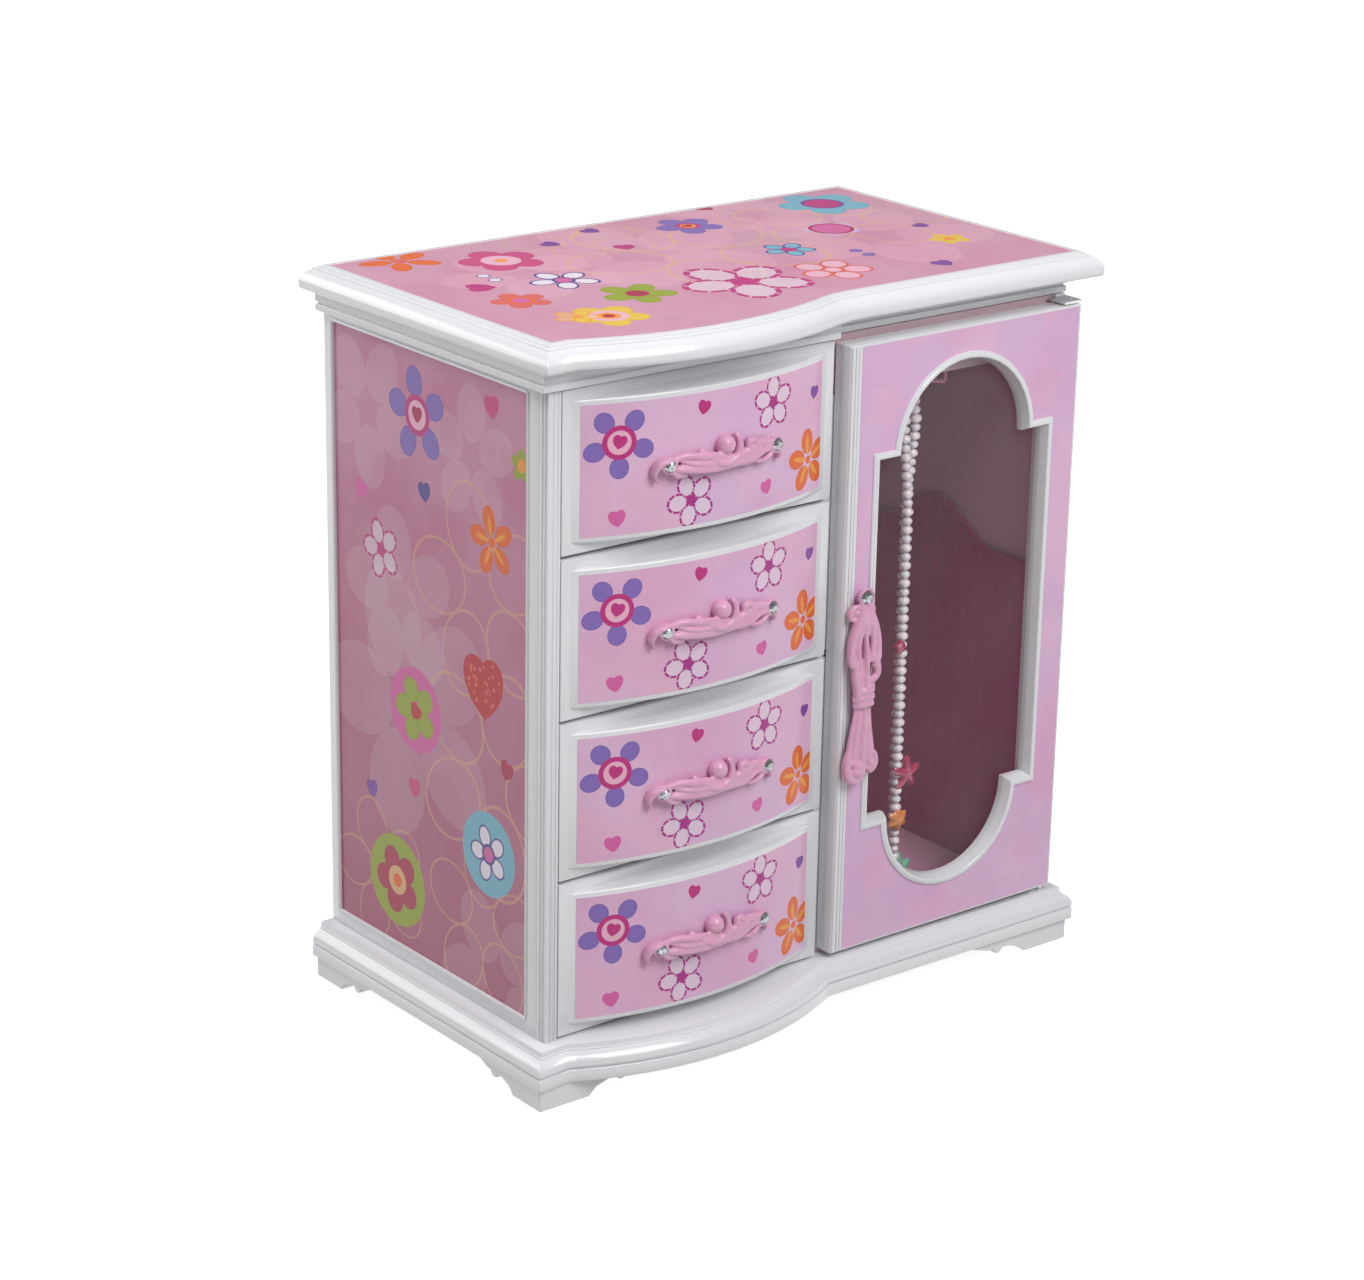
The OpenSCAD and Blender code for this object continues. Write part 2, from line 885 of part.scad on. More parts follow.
module movement_comb() {
    teeth = 18;
    tip_x = bow_x + 7.1;
    root_x = bow_x + 17;
    low = barrel_z - 7.6;
    height = 15.4;
    color("silver")
    difference() {
        union() {
            block([tip_x, drum_y - 0.5, low],
                  [root_x + 5, drum_y + 0.5, low + height]);
            block([root_x, drum_y + 0.4, low],
                  [root_x + 5, plate_y, low + height]);
        }
        for (i = [1:teeth - 1])
            translate([0, 0, low + i * height / teeth])
                block([tip_x - cut, drum_y - cut, -0.15],
                      [root_x - 1, drum_y + cut, 0.15]);
    }
}

module winding_key() {
    color("gold") {
        rod_y(bow_x, barrel_z, barrel_y - 1.4, yb + 8, arbor_r);
        rod_y(bow_x, barrel_z, yb + 1, yb + 8, 4);
        translate([bow_x, 0, barrel_z])
            rotate([0, 0, 90])
                translate([0, -1.25, 0])
                    upright(0, 2.5)
                        difference() {
                            union() {
                                for (s = [-1, 1])
                                    translate([yb + key_reach - 6, s * 6.5])
                                        circle(r = 6);
                                translate([yb + 6, -4.5])
                                    square([5, 9]);
                            }
                            for (s = [-1, 1])
                                translate([yb + key_reach - 6, s * 6.8])
                                    circle(r = 2.4);
                        }
    }
}

module spring_barrel() {
    color("goldenrod")
    difference() {
        union() {
            rod_y(bow_x, barrel_z, barrel_y, plate_y - gap, barrel_r);
            rod_y(bow_x, barrel_z, barrel_y - 1.5, barrel_y, crown_r + 0.8);
            for (i = [0:crown_teeth - 1])
                translate([bow_x, 0, barrel_z])
                    rotate([0, (i + 0.5) * 360 / crown_teeth, 0])
                        block([-tooth_w / 2, crown_tip_y, crown_r - 0.8],
                              [tooth_w / 2, barrel_y - 1, crown_r + 0.7]);
        }
        rod_y(bow_x, barrel_z, crown_tip_y - cut, plate_y + cut,
              arbor_r + 0.05);
    }
}

module pinned_drum() {
    low = barrel_z - 8;
    height = 16;
    pins_round = 9;
    pins_high = 6;
    color("goldenrod")
    translate([bow_x, drum_y, 0]) {
        translate([0, 0, barrel_z - crown_r - 3])
            cylinder(h = spring_z + 1 - barrel_z + crown_r + 3, r = 1.5);
        translate([0, 0, low])
            cylinder(h = height, r = 6.2);
        translate([0, 0, wheel_z - 0.9])
            linear_extrude(1.8)
                gear(drum_teeth);
        translate([0, 0, spring_z - 3.6])
            cylinder(h = 1.8, r = 3.2);
        for (i = [0:pins_round - 1]) for (k = [0:pins_high - 1])
            rotate(360 * (i + 0.37 * k) / pins_round)
                translate([6, -0.2, low + 1 + (k + 0.15 * i) * 2.1])
                    cube([0.6, 0.4, 0.4]);
    }
}

module governor_fly() {
    color("silver")
    translate([fly_x, drum_y, 0]) {
        translate([0, 0, barrel_z - crown_r - 3])
            cylinder(h = 2 * crown_r + 6.5, r = 0.8);
        translate([0, 0, wheel_z - 0.9])
            linear_extrude(1.8)
                rotate(90 + 180 / fly_teeth)
                    gear(fly_teeth);
        translate([0, 0, barrel_z - 7])
            cylinder(h = 12, r = 1.5);
        for (a = [0, 90])
            rotate(a)
                translate([-3.4, -0.25, barrel_z - 6])
                    cube([6.8, 0.5, 8]);
    }
}

// ---------------------------------------------------------------- dancer

// Coil spring bent through a quarter turn, from upright to lying forward
module ballerina_spring() {
    turns = 7;
    steps = 84;
    coil_r = 2.6;
    coil = [for (i = [0:steps])
        let (u = 90 * i / steps,
             w = 360 * turns * i / steps,
             middle = [0, spring_bend * (cos(u) - 1), spring_bend * sin(u)],
             away = [0, cos(u), sin(u)])
        [bow_x, drum_y, spring_z] + middle
            + coil_r * (cos(w) * away + sin(w) * [1, 0, 0])];
    color("silver")
        tube(coil, 0.35, 6);
}

module ballerina_ferrule() {
    color("gold")
    difference() {
        union() {
            rod_y(bow_x, lie_z, feet_y - 2.4, feet_y - 0.4, 3.2);
            rod_y(bow_x, lie_z, feet_y - 0.6, feet_y + 1.2, 1.9);
        }
        rod_y(bow_x, lie_z, feet_y - 2.4 - cut, feet_y - 0.9, 0.85);
    }
}

// Turned outline of the dancer: distance up from her toes, and radius
dancer_profile = [
    [0, 1.1], [3, 1.5], [8, 1.9], [14, 2.6], [19, 3.4], [23, 4.2],
    [26, 3.3], [29, 3], [32, 3.7], [35, 4], [37, 2.6], [38.5, 1.3],
    [40, 1.3]
];
head_up = 43.5;
skirt_up = 23;

module ballerina_figure() {
    color("bisque")
    translate([bow_x, feet_y - 2.6, lie_z])
        rotate([90, 0, 0]) {
            rotate_extrude()
                polygon(concat(
                    [[0, 0]],
                    [for (p = dancer_profile) [p[1], p[0]]],
                    [[0, 40]]));
            translate([0, 0, -1.7])
                cylinder(h = 2.2, r = 0.8);
            translate([0, 0, head_up])
                sphere(r = 3.9);
            translate([0, 0, head_up + 3.6])
                sphere(r = 2);
            for (s = [-1, 1])
                hull() {
                    translate([s * 3.6, 0, 34.5])
                        sphere(r = 1.1, $fn = 24);
                    translate([s * 8.5, 0, 41])
                        sphere(r = 0.9, $fn = 24);
                }
            for (s = [-1, 1])
                hull() {
                    translate([s * 8.5, 0, 41])
                        sphere(r = 0.9, $fn = 24);
                    translate([s * 4.5, 0, 49.5])
                        sphere(r = 0.8, $fn = 24);
                }
        }
}

module ballerina_tutu() {
    color("hotpink")
    translate([bow_x, feet_y - 2.6 - skirt_up, lie_z])
        rotate([90, 0, 0])
            rotate_extrude()
                polygon([[4.3, 0.4], [4.3, 2.2], [8, 1.4], [tutu_r, -2.2],
                         [tutu_r - 0.4, -4], [8, -1.4]]);
}

plinth_feet();
base_moulding();
bottom_board();
side_panel_left();
side_panel_right();
corner_post();
partition();
back_panel();
drawer_shelves();
tray();
tray_lining();
tray_divider();
ring_rolls();
cabinet_lining();
necklace_pocket();
carousel_boss();
door_bracket();
catch_magnet();
lid_hinge_lower();
lid_hinge_pins();
movement_bedplate();
movement_comb();
lid_board();
lid_rim();
lid_mirror();
lid_hinge_upper();
drawer_1_front();
drawer_1_box();
drawer_1_lining();
drawer_1_pull();
drawer_2_front();
drawer_2_box();
drawer_2_lining();
drawer_2_pull();
drawer_3_front();
drawer_3_box();
drawer_3_lining();
drawer_3_pull();
drawer_4_front();
drawer_4_box();
drawer_4_lining();
drawer_4_pull();
door_frame();
door_bead();
door_pane();
door_retainer();
door_pins();
door_catch_plate();
door_pull();
necklace_carousel();
necklace_thread();
necklace_charms();
winding_key();
spring_barrel();
pinned_drum();
governor_fly();
ballerina_spring();
ballerina_ferrule();
ballerina_figure();
ballerina_tutu();
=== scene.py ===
"""Looks of an upright ballerina jewellery box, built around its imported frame.

The frame holds the working parts. Each operator below makes one piece, or one group of like pieces,
and dresses it. Lengths are in metres, in the frame's own axes: X right, Y to the back, Z up.
"""

import json
import math

import bmesh
import bpy
from bpy.props import FloatProperty, FloatVectorProperty, IntProperty, PointerProperty
from mathutils import Matrix, Vector, noise

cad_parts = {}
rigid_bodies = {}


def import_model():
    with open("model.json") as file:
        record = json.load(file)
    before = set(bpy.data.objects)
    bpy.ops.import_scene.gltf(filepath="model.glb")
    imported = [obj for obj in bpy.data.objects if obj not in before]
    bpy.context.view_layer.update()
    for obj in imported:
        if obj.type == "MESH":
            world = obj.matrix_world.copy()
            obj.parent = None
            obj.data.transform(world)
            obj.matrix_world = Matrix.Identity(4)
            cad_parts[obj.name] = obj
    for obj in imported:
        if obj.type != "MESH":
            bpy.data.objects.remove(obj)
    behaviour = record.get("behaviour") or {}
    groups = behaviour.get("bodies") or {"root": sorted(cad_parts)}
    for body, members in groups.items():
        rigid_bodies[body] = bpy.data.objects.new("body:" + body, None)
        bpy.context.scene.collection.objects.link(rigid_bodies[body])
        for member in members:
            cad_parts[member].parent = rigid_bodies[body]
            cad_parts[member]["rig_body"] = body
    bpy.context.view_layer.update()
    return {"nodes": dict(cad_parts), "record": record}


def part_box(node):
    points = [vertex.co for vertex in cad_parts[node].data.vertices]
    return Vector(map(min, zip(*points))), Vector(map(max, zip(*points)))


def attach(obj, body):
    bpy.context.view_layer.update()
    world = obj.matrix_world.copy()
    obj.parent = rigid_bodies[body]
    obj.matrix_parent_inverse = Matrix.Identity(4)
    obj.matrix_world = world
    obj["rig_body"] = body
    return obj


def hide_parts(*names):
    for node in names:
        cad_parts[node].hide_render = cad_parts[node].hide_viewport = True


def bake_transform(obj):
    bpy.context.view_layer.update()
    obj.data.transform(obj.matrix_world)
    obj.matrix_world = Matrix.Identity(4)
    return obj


bl_info = {
    "name": "Ballerina Jewellery Box",
    "version": (1, 0, 0),
    "blender": (4, 5, 0),
    "location": "3D View > Sidebar > Jewellery Box",
    "description": "Dresses the frame of a musical jewellery box",
    "category": "Object",
}

MM = 0.001

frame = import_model()

# Planes of the case, read from the frame
POST_LOW, POST_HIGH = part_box("corner_post")
BASE_LOW, BASE_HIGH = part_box("base_moulding")
LID_LOW, LID_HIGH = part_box("lid_board")
DOOR_LOW, DOOR_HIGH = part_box("door_frame")
BACK_LOW, BACK_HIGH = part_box("back_panel")
FRONT_LOW, FRONT_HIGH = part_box("drawer_1_front")
SIDE_LOW, SIDE_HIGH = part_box("side_panel_left")
RIGHT_LOW, RIGHT_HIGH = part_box("side_panel_right")
FRONT_Y = POST_LOW.y
SLAB_MARGIN = 4.5 * MM
BOW_X = (FRONT_LOW.x + FRONT_HIGH.x) / 2
BOW_HALF = (FRONT_HIGH.x - FRONT_LOW.x) / 2 - SLAB_MARGIN
FRONT_RISE = FRONT_Y - FRONT_LOW.y
BASE_OUT = SIDE_LOW.x - BASE_LOW.x
BASE_RISE = FRONT_Y - BASE_OUT - BASE_LOW.y
LID_OUT = FRONT_Y - FRONT_RISE - LID_LOW.y
DRAWERS = (1, 2, 3, 4)


# ------------------------------------------------------------------ settings


def colour(name, description, default):
    """A colour setting."""
    return FloatVectorProperty(name=name, description=description, default=default, subtype="COLOR",
                               size=3, min=0, max=1)


def length(name, description, millimetres):
    """A length setting."""
    return FloatProperty(name=name, description=description, default=millimetres * MM, unit="LENGTH")


class JewelBoxSizes(bpy.types.PropertyGroup):
    """Sizes of the finish that a maker would change"""

    pearl: length("Pearl", "Diameter of the necklace's pearls", 5.6)
    clear_bead: length("Clear bead", "Diameter of the necklace's clear beads", 5.0)
    bead_pitch: length("Bead pitch", "Distance along the thread from one bead to the next", 4.0)
    pleats: IntProperty(name="Tutu pleats", description="Pleats round the dancer's tutu", default=22)


class JewelBoxColours(bpy.types.PropertyGroup):
    """Colours of the finish that a maker would change"""

    lacquer: colour("Lacquer", "White gloss lacquer", (0.80, 0.80, 0.83))
    satin: colour("Satin", "Lining of the tray and drawers", (0.72, 0.25, 0.42))
    flock: colour("Flock", "Lining of the cabinet", (0.62, 0.28, 0.42))
    pocket: colour("Pocket", "Necklace pocket in the cabinet", (0.44, 0.018, 0.17))
    plastic: colour("Pulls", "Moulded ribbons on drawers and door", (0.83, 0.42, 0.62))


def sizes():
    """The scene's settings of size."""
    return bpy.context.scene.jewel_box_sizes


def colours():
    """The scene's settings of colour."""
    return bpy.context.scene.jewel_box_colours


# -------------------------------------------------------------- node helpers


class Sock:
    """A shader or geometry socket that can stand in sums."""

    def __init__(self, graph, socket):
        self.graph, self.socket = graph, socket

    def math(self, operation, *values):
        return self.graph.node("ShaderNodeMath", {"operation": operation}, *values)

    def __add__(self, other):
        return self.math("ADD", self, other)

    def __radd__(self, other):
        return self.math("ADD", other, self)

    def __sub__(self, other):
        return self.math("SUBTRACT", self, other)

    def __rsub__(self, other):
        return self.math("SUBTRACT", other, self)

    def __mul__(self, other):
        return self.math("MULTIPLY", self, other)

    def __rmul__(self, other):
        return self.math("MULTIPLY", other, self)

    def __truediv__(self, other):
        return self.math("DIVIDE", self, other)

    def __rtruediv__(self, other):
        return self.math("DIVIDE", other, self)

    def __pow__(self, other):
        return self.math("POWER", self, other)

    def __lt__(self, other):
        return self.math("LESS_THAN", self, other)

    def __gt__(self, other):
        return self.math("GREATER_THAN", self, other)

    def __abs__(self):
        return self.math("ABSOLUTE", self)

    def sin(self):
        return self.math("SINE", self)

    def cos(self):
        return self.math("COSINE", self)


class Graph:
    """A node tree, and the one way its nodes are made."""

    def __init__(self, tree):
        self.tree = tree

    def node(self, kind, settings=None, *values, out=0, **named):
        """Adds a node: its settings first, then values or links for its sockets, by place or name."""
        made = self.tree.nodes.new(kind)
        for key, value in (settings or {}).items():
            if key == "stops":
                ramp = made.color_ramp.elements
                while len(ramp) < len(value):
                    ramp.new(0.5)
                for stop, (place, tone) in zip(ramp, value):
                    stop.position, stop.color = place, (*tone, 1)
            else:
                setattr(made, key, value)
        for socket, value in zip(made.inputs, values):
            self.feed(socket, value)
        for key, value in named.items():
            self.feed(made.inputs[key.replace("_", " ")], value)
        return Sock(self, made.outputs[out]) if len(made.outputs) else made

    def feed(self, socket, value):
        """Links or sets a socket."""
        if isinstance(value, Sock):
            self.tree.links.new(value.socket, socket)
        elif value is not None:
            if socket.type == "RGBA" and len(value) == 3:
                value = (*value, 1)
            socket.default_value = value

    def parts(self, vector):
        """The three numbers of a vector."""
        first = self.node("ShaderNodeSeparateXYZ", None, vector)
        return [Sock(self, first.socket.node.outputs[i]) for i in range(3)]

    def vector(self, x, y, z=0.0):
        return self.node("ShaderNodeCombineXYZ", None, x, y, z)

    def over(self, ground, mask, ink):
        """Ink laid over a ground where the mask is 1."""
        return self.node("ShaderNodeMix", {"data_type": "RGBA"}, mask, None, None, None, None, None,
                         ground, ink, out=2)

    def grain(self, vector, scale, detail=2.0, roughness=0.5):
        """Noise from 0 to 1."""
        return self.node("ShaderNodeTexNoise", None, Vector=vector, Scale=scale, Detail=detail,
                         Roughness=roughness)

    def between(self, value, low, high):
        """A value from 0 to 1 spread between low and high."""
        return value * (high - low) + low


class Paint(Graph):
    """A material with one Principled shader."""

    def __init__(self, name, **constants):
        self.material = bpy.data.materials.new(name)
        self.material.use_nodes = True
        super().__init__(self.material.node_tree)
        self.shader = self.tree.nodes["Principled BSDF"]
        self.place = self.node("ShaderNodeTexCoord", out=3)
        self.set(**constants)

    def set(self, **values):
        for key, value in values.items():
            self.feed(self.shader.inputs[key.replace("_", " ")], value)
        return self

    def bump(self, height, distance, strength=0.5):
        return self.set(Normal=self.node("ShaderNodeBump", None, Strength=strength, Distance=distance,
                                         Height=height))


def srgb(code):
    """Linear colour of a six-figure hex code."""
    parts = [int(code[i:i + 2], 16) / 255 for i in (0, 2, 4)]
    return tuple(p / 12.92 if p <= 0.04045 else ((p + 0.055) / 1.055) ** 2.4 for p in parts)


INK = {
    "violet": srgb("8468b8"), "magenta": srgb("c01f7c"), "white": srgb("efe4f0"), "pink": srgb("d95fa4"),
    "rose": srgb("cf4180"), "orange": srgb("e8650a"), "amber": srgb("f39a30"), "yellow": srgb("edc33e"),
    "lime": srgb("9aa624"), "red": srgb("bd1420"), "crimson": srgb("ad1048"), "sky": srgb("78b6cc"),
    "indigo": srgb("4a3a8c"), "plum": srgb("7a3a9a"), "coral": srgb("df6258"), "shell": srgb("f0b6cc"),
    "gold": srgb("e2b27e"), "berry": srgb("ab1f86"), "mauve": srgb("cfa6d2"), "lilac": srgb("d8b6dc"),
}


# ------------------------------------------------------------- printed paper


def motif_group(name, outputs, draw):
    """A node group that measures a motif about the origin, one unit in radius."""
    tree = bpy.data.node_groups.new(name, "ShaderNodeTree")
    tree.interface.new_socket("Point", in_out="INPUT", socket_type="NodeSocketVector")
    for label in ("Petals", "Width", "Reach"):
        tree.interface.new_socket(label, in_out="INPUT", socket_type="NodeSocketFloat")
    for label in outputs:
        tree.interface.new_socket(label, in_out="OUTPUT", socket_type="NodeSocketFloat")
    graph = Graph(tree)
    enter = tree.nodes.new("NodeGroupInput")
    leave = tree.nodes.new("NodeGroupOutput")
    results = draw(graph, *[Sock(graph, enter.outputs[i]) for i in range(4)])
    for socket, result in zip(leave.inputs, results):
        graph.feed(socket, result)
    return tree


def measure_petals(graph, point, petals, width, reach):
    """Petal: under 1 inside a petal. Middle: distance from the centre. Round: angle round a petal."""
    x, y, _ = graph.parts(point)
    middle = (x * x + y * y) ** 0.5
    sector = 2 * math.pi / petals
    angle = x.math("WRAP", x.math("ARCTAN2", x, y), sector / 2, sector * -0.5)
    along = (middle * angle.cos() - (1 - reach)) / reach
    across = middle * angle.sin() / width
    petal = (along * along + across * across) ** 0.5
    return petal, middle, x.math("ARCTAN2", across, along)


def measure_heart(graph, point, *_unused):
    """Heart: under 0 inside."""
    x, y, _ = graph.parts(point)
    x, y = x * 1.15, y * 1.15 + 0.1
    ring = x * x + y * y - 1
    return (ring * ring * ring - x * x * y * y * y,)


class Print(Paint):
    """Glossy printed paper. Motifs are laid on in order, on the plane of two of the object's axes."""

    petal_tree = None
    heart_tree = None

    def __init__(self, name, across, up, ground, deep):
        super().__init__(name, Coat_Weight=0.2, Coat_Roughness=0.1, Specular_IOR_Level=0.25)
        if Print.petal_tree is None:
            Print.petal_tree = motif_group("petals", ("Petal", "Middle", "Round"), measure_petals)
            Print.heart_tree = motif_group("heart", ("Heart",), measure_heart)
        axes = self.parts(self.place)
        pick = {"x": axes[0], "y": axes[1], "z": axes[2], "-y": axes[1] * -1.0}
        self.flat = self.vector(pick[across], pick[up])
        cloud = self.grain(self.flat, 17, 3)
        self.ink = self.over(ground, self.node("ShaderNodeMapRange", None, cloud, 0.42, 0.62), deep)

    def local(self, u, v, size, turn):
        """The paper's coordinates about (u, v), in mm, with size as the unit."""
        return self.node("ShaderNodeMapping", {"vector_type": "TEXTURE"}, self.flat,
                         (u * MM, v * MM, 0), (0, 0, math.radians(turn)), (size * MM,) * 3)

    def lay(self, mask, ink, strength=1.0):
        if isinstance(ink, str):
            ink = INK[ink]
        self.ink = self.over(self.ink, mask * strength if strength < 1 else mask, ink)

    def measured(self, tree, count, u, v, size, turn, petals=5.0, width=0.34, reach=0.4):
        made = self.node("ShaderNodeGroup", {"node_tree": tree}, self.local(u, v, size, turn),
                         petals, width, reach).socket.node
        return [Sock(self, made.outputs[i]) for i in range(count)]

    def heart(self, u, v, size, ink, turn=0.0):
        shape, = self.measured(Print.heart_tree, 1, u, v, size, turn)
        self.lay(shape < 0.0, ink)

    def disc(self, u, v, size, ink):
        _, middle, _ = self.measured(Print.petal_tree, 3, u, v, size, 0)
        self.lay(middle < 1.0, ink)

    def flower(self, u, v, size, petal, rings=(), turn=0.0, petals=5.0, width=0.34, fill=None, line=0.8,
               reach=0.4):
        """A flower. fill paints inside an outline of the petal colour; rings are (radius, ink)."""
        shape, middle, _ = self.measured(Print.petal_tree, 3, u, v, size, turn, petals, width, reach)
        self.lay(shape < 1.0, petal)
        if isinstance(petal, str) and not fill:
            self.lay((shape < 1.0) * (shape > 0.86), tuple(c * 0.8 for c in INK[petal]), 0.5)
        if fill:
            self.lay(shape < line, fill)
        for radius, ink in rings:
            self.lay(middle < radius, ink)

    def stitched(self, u, v, size, ink, turn=0.0, fill="white"):
        """A pale flower whose petals are edged with stitches."""
        shape, middle, angle = self.measured(Print.petal_tree, 3, u, v, size, turn, 5.0, 0.34, 0.42)
        self.lay(shape < 1.0, fill, 0.5)
        dashes = (angle * 8.0).sin() > -0.9
        edge = (shape < 1.1) * (shape > 0.84) * dashes
        self.lay(edge, ink)
        self.lay(middle < 0.2, ink)

    def ghost(self, u, v, size, ink="white", strength=0.2, turn=0.0):
        """A large faint flower in the ground."""
        shape, _, _ = self.measured(Print.petal_tree, 3, u, v, size, turn, 5.0, 0.33)
        self.lay(shape < 1.0, ink, strength)

    def outline(self, u, v, size, ink="gold", strength=0.45, turn=0.0):
        """A large flower drawn with a thin line only."""
        shape, _, _ = self.measured(Print.petal_tree, 3, u, v, size, turn, 5.0, 0.34)
        self.lay((shape < 1.0) * (shape > 0.93), ink, strength)

    def finish(self):
        """Feeds the finished print to the shader, with a fine mottle in its gloss."""
        fine = self.grain(self.place, 900, 2)
        self.set(Base_Color=self.ink, Roughness=self.between(fine, 0.27, 0.33))
        self.bump(fine, 0.02 * MM, 0.04)
        return self.material


def side_print():
    """Paper of the side: across runs from the back to the front. Its pinks are a darker copy of the front's
    paper, painted shade of a side turned from the light.
    """
    # Painted shade: the ground and mottle pinks are darker than the front's, for a side in shade.
    p = Print("side paper", "-y", "z", (0.62, 0.27, 0.41), (0.56, 0.18, 0.32))
    # Painted shade: the paper darkens towards the bottom of the side.
    height = p.parts(p.flat)[1]
    low = p.node("ShaderNodeMapRange", None, height, 0.29, 0.03)
    p.ink = p.over(p.ink, low * 0.8, (0.36, 0.065, 0.125))
    for u, v, size, turn in ((-30, 188, 40, 10), (-52, 265, 34, 40), (22, 262, 30, 0), (-22, 142, 62, 20),
                             (40, 40, 40, 30)):
        p.ghost(u, v, size, "white", 0.12, turn)
    for u, v, size, turn in ((28, 205, 48, 15), (35, 128, 52, 50), (30, 62, 40, 0), (-45, 60, 34, 20)):
        p.outline(u, v, size, turn=turn)
    p.flower(-16, 270.5, 20.5, "violet", ((0.42, "magenta"), (0.3, "shell")), turn=8, width=0.28,
             reach=0.33)
    p.heart(-16, 270.5, 3.6, "crimson")
    p.heart(36, 285.5, 5, "rose", 8)
    p.flower(56, 266.5, 7, "lime", ((0.4, "amber"),))
    p.heart(-58, 229, 4.6, "pink", -20)
    p.heart(-11, 239, 4.4, "indigo", 10)
    p.stitched(-43, 206.5, 13, "magenta", 20)
    p.flower(36, 230, 15, "orange", ((0.16, "amber"),), turn=12, width=0.28)
    p.flower(36, 230, 11, "amber", ((0.2, "orange"),), turn=12, width=0.1)
    p.heart(30.5, 166, 14, "red", 4)
    dots = p.node("ShaderNodeTexVoronoi", None, Vector=p.flat, Scale=330.0)
    shape, = p.measured(Print.heart_tree, 1, 30.5, 166.3, 12, 4)
    p.lay((shape < 0.0) * (dots < 0.33), "coral")
    p.disc(-18.5, 142.5, 18.6, "pink")
    p.flower(-18.5, 142.5, 14.5, "lime", turn=20, width=0.36)
    p.heart(-18.5, 141.5, 4, "red", -30)
    p.heart(46.5, 135.5, 4.4, "crimson", -18)
    p.heart(-51.5, 96.5, 4.2, "plum", 15)
    p.heart(-19.5, 107, 4.4, "rose")
    p.disc(-33, 60.5, 20.6, "lime")
    p.flower(-33, 60.5, 15.5, "crimson", ((0.42, "gold"), (0.2, "orange")), turn=25, width=0.38)
    p.disc(34, 95, 18.4, "sky")
    p.flower(34, 95, 12.8, "indigo", ((0.36, "indigo"), (0.26, "pink")), turn=20, width=0.33, fill="white",
             line=0.82)
    return p.finish()


def drawer_print(index):
    """Paper of one drawer front, drawn about the middle of its bowed face."""
    low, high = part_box(f"drawer_{index}_front")
    x, z = BOW_X / MM, (low.z + high.z) / 2 / MM
    p = Print(f"drawer {index} paper", "x", "z", (0.78, 0.50, 0.71), (0.77, 0.42, 0.63))
    p.ghost(x + 18, z - 14, 40, "lilac", 0.3, 20)
    p.ghost(x - 42, z - 26, 30, "shell", 0.3, 50)
    p.ghost(x + 52, z + 20, 34, "shell", 0.25)
    p.flower(x - 46.2, z + 10.8, 14.8, "violet", ((0.47, "magenta"), (0.33, "shell")), turn=36,
             width=0.27, reach=0.3)
    p.heart(x - 46.2, z + 10.8, 3.0, "magenta", -14)
    p.stitched(x - 14.5, z - 16.5, 11, "berry", 24)
    p.stitched(x + 28, z + 16.5, 11, "berry", 2)
    p.heart(x - 9.3, z + 20.5, 3.1, "magenta", -16)
    p.heart(x - 46.8, z - 20.3, 3.6, "pink", 6)
    p.heart(x + 25, z - 18.5, 3.2, "pink", 14)
    p.heart(x + 55.5, z + 14.5, 2.9, "plum", -8)
    p.flower(x + 52.2, z - 13, 13.4, "orange", ((0.13, "red"),), turn=6, width=0.3)
    p.flower(x + 52.2, z - 13, 10.5, "amber", ((0.16, "orange"),), turn=6, width=0.1)
    return p.finish()


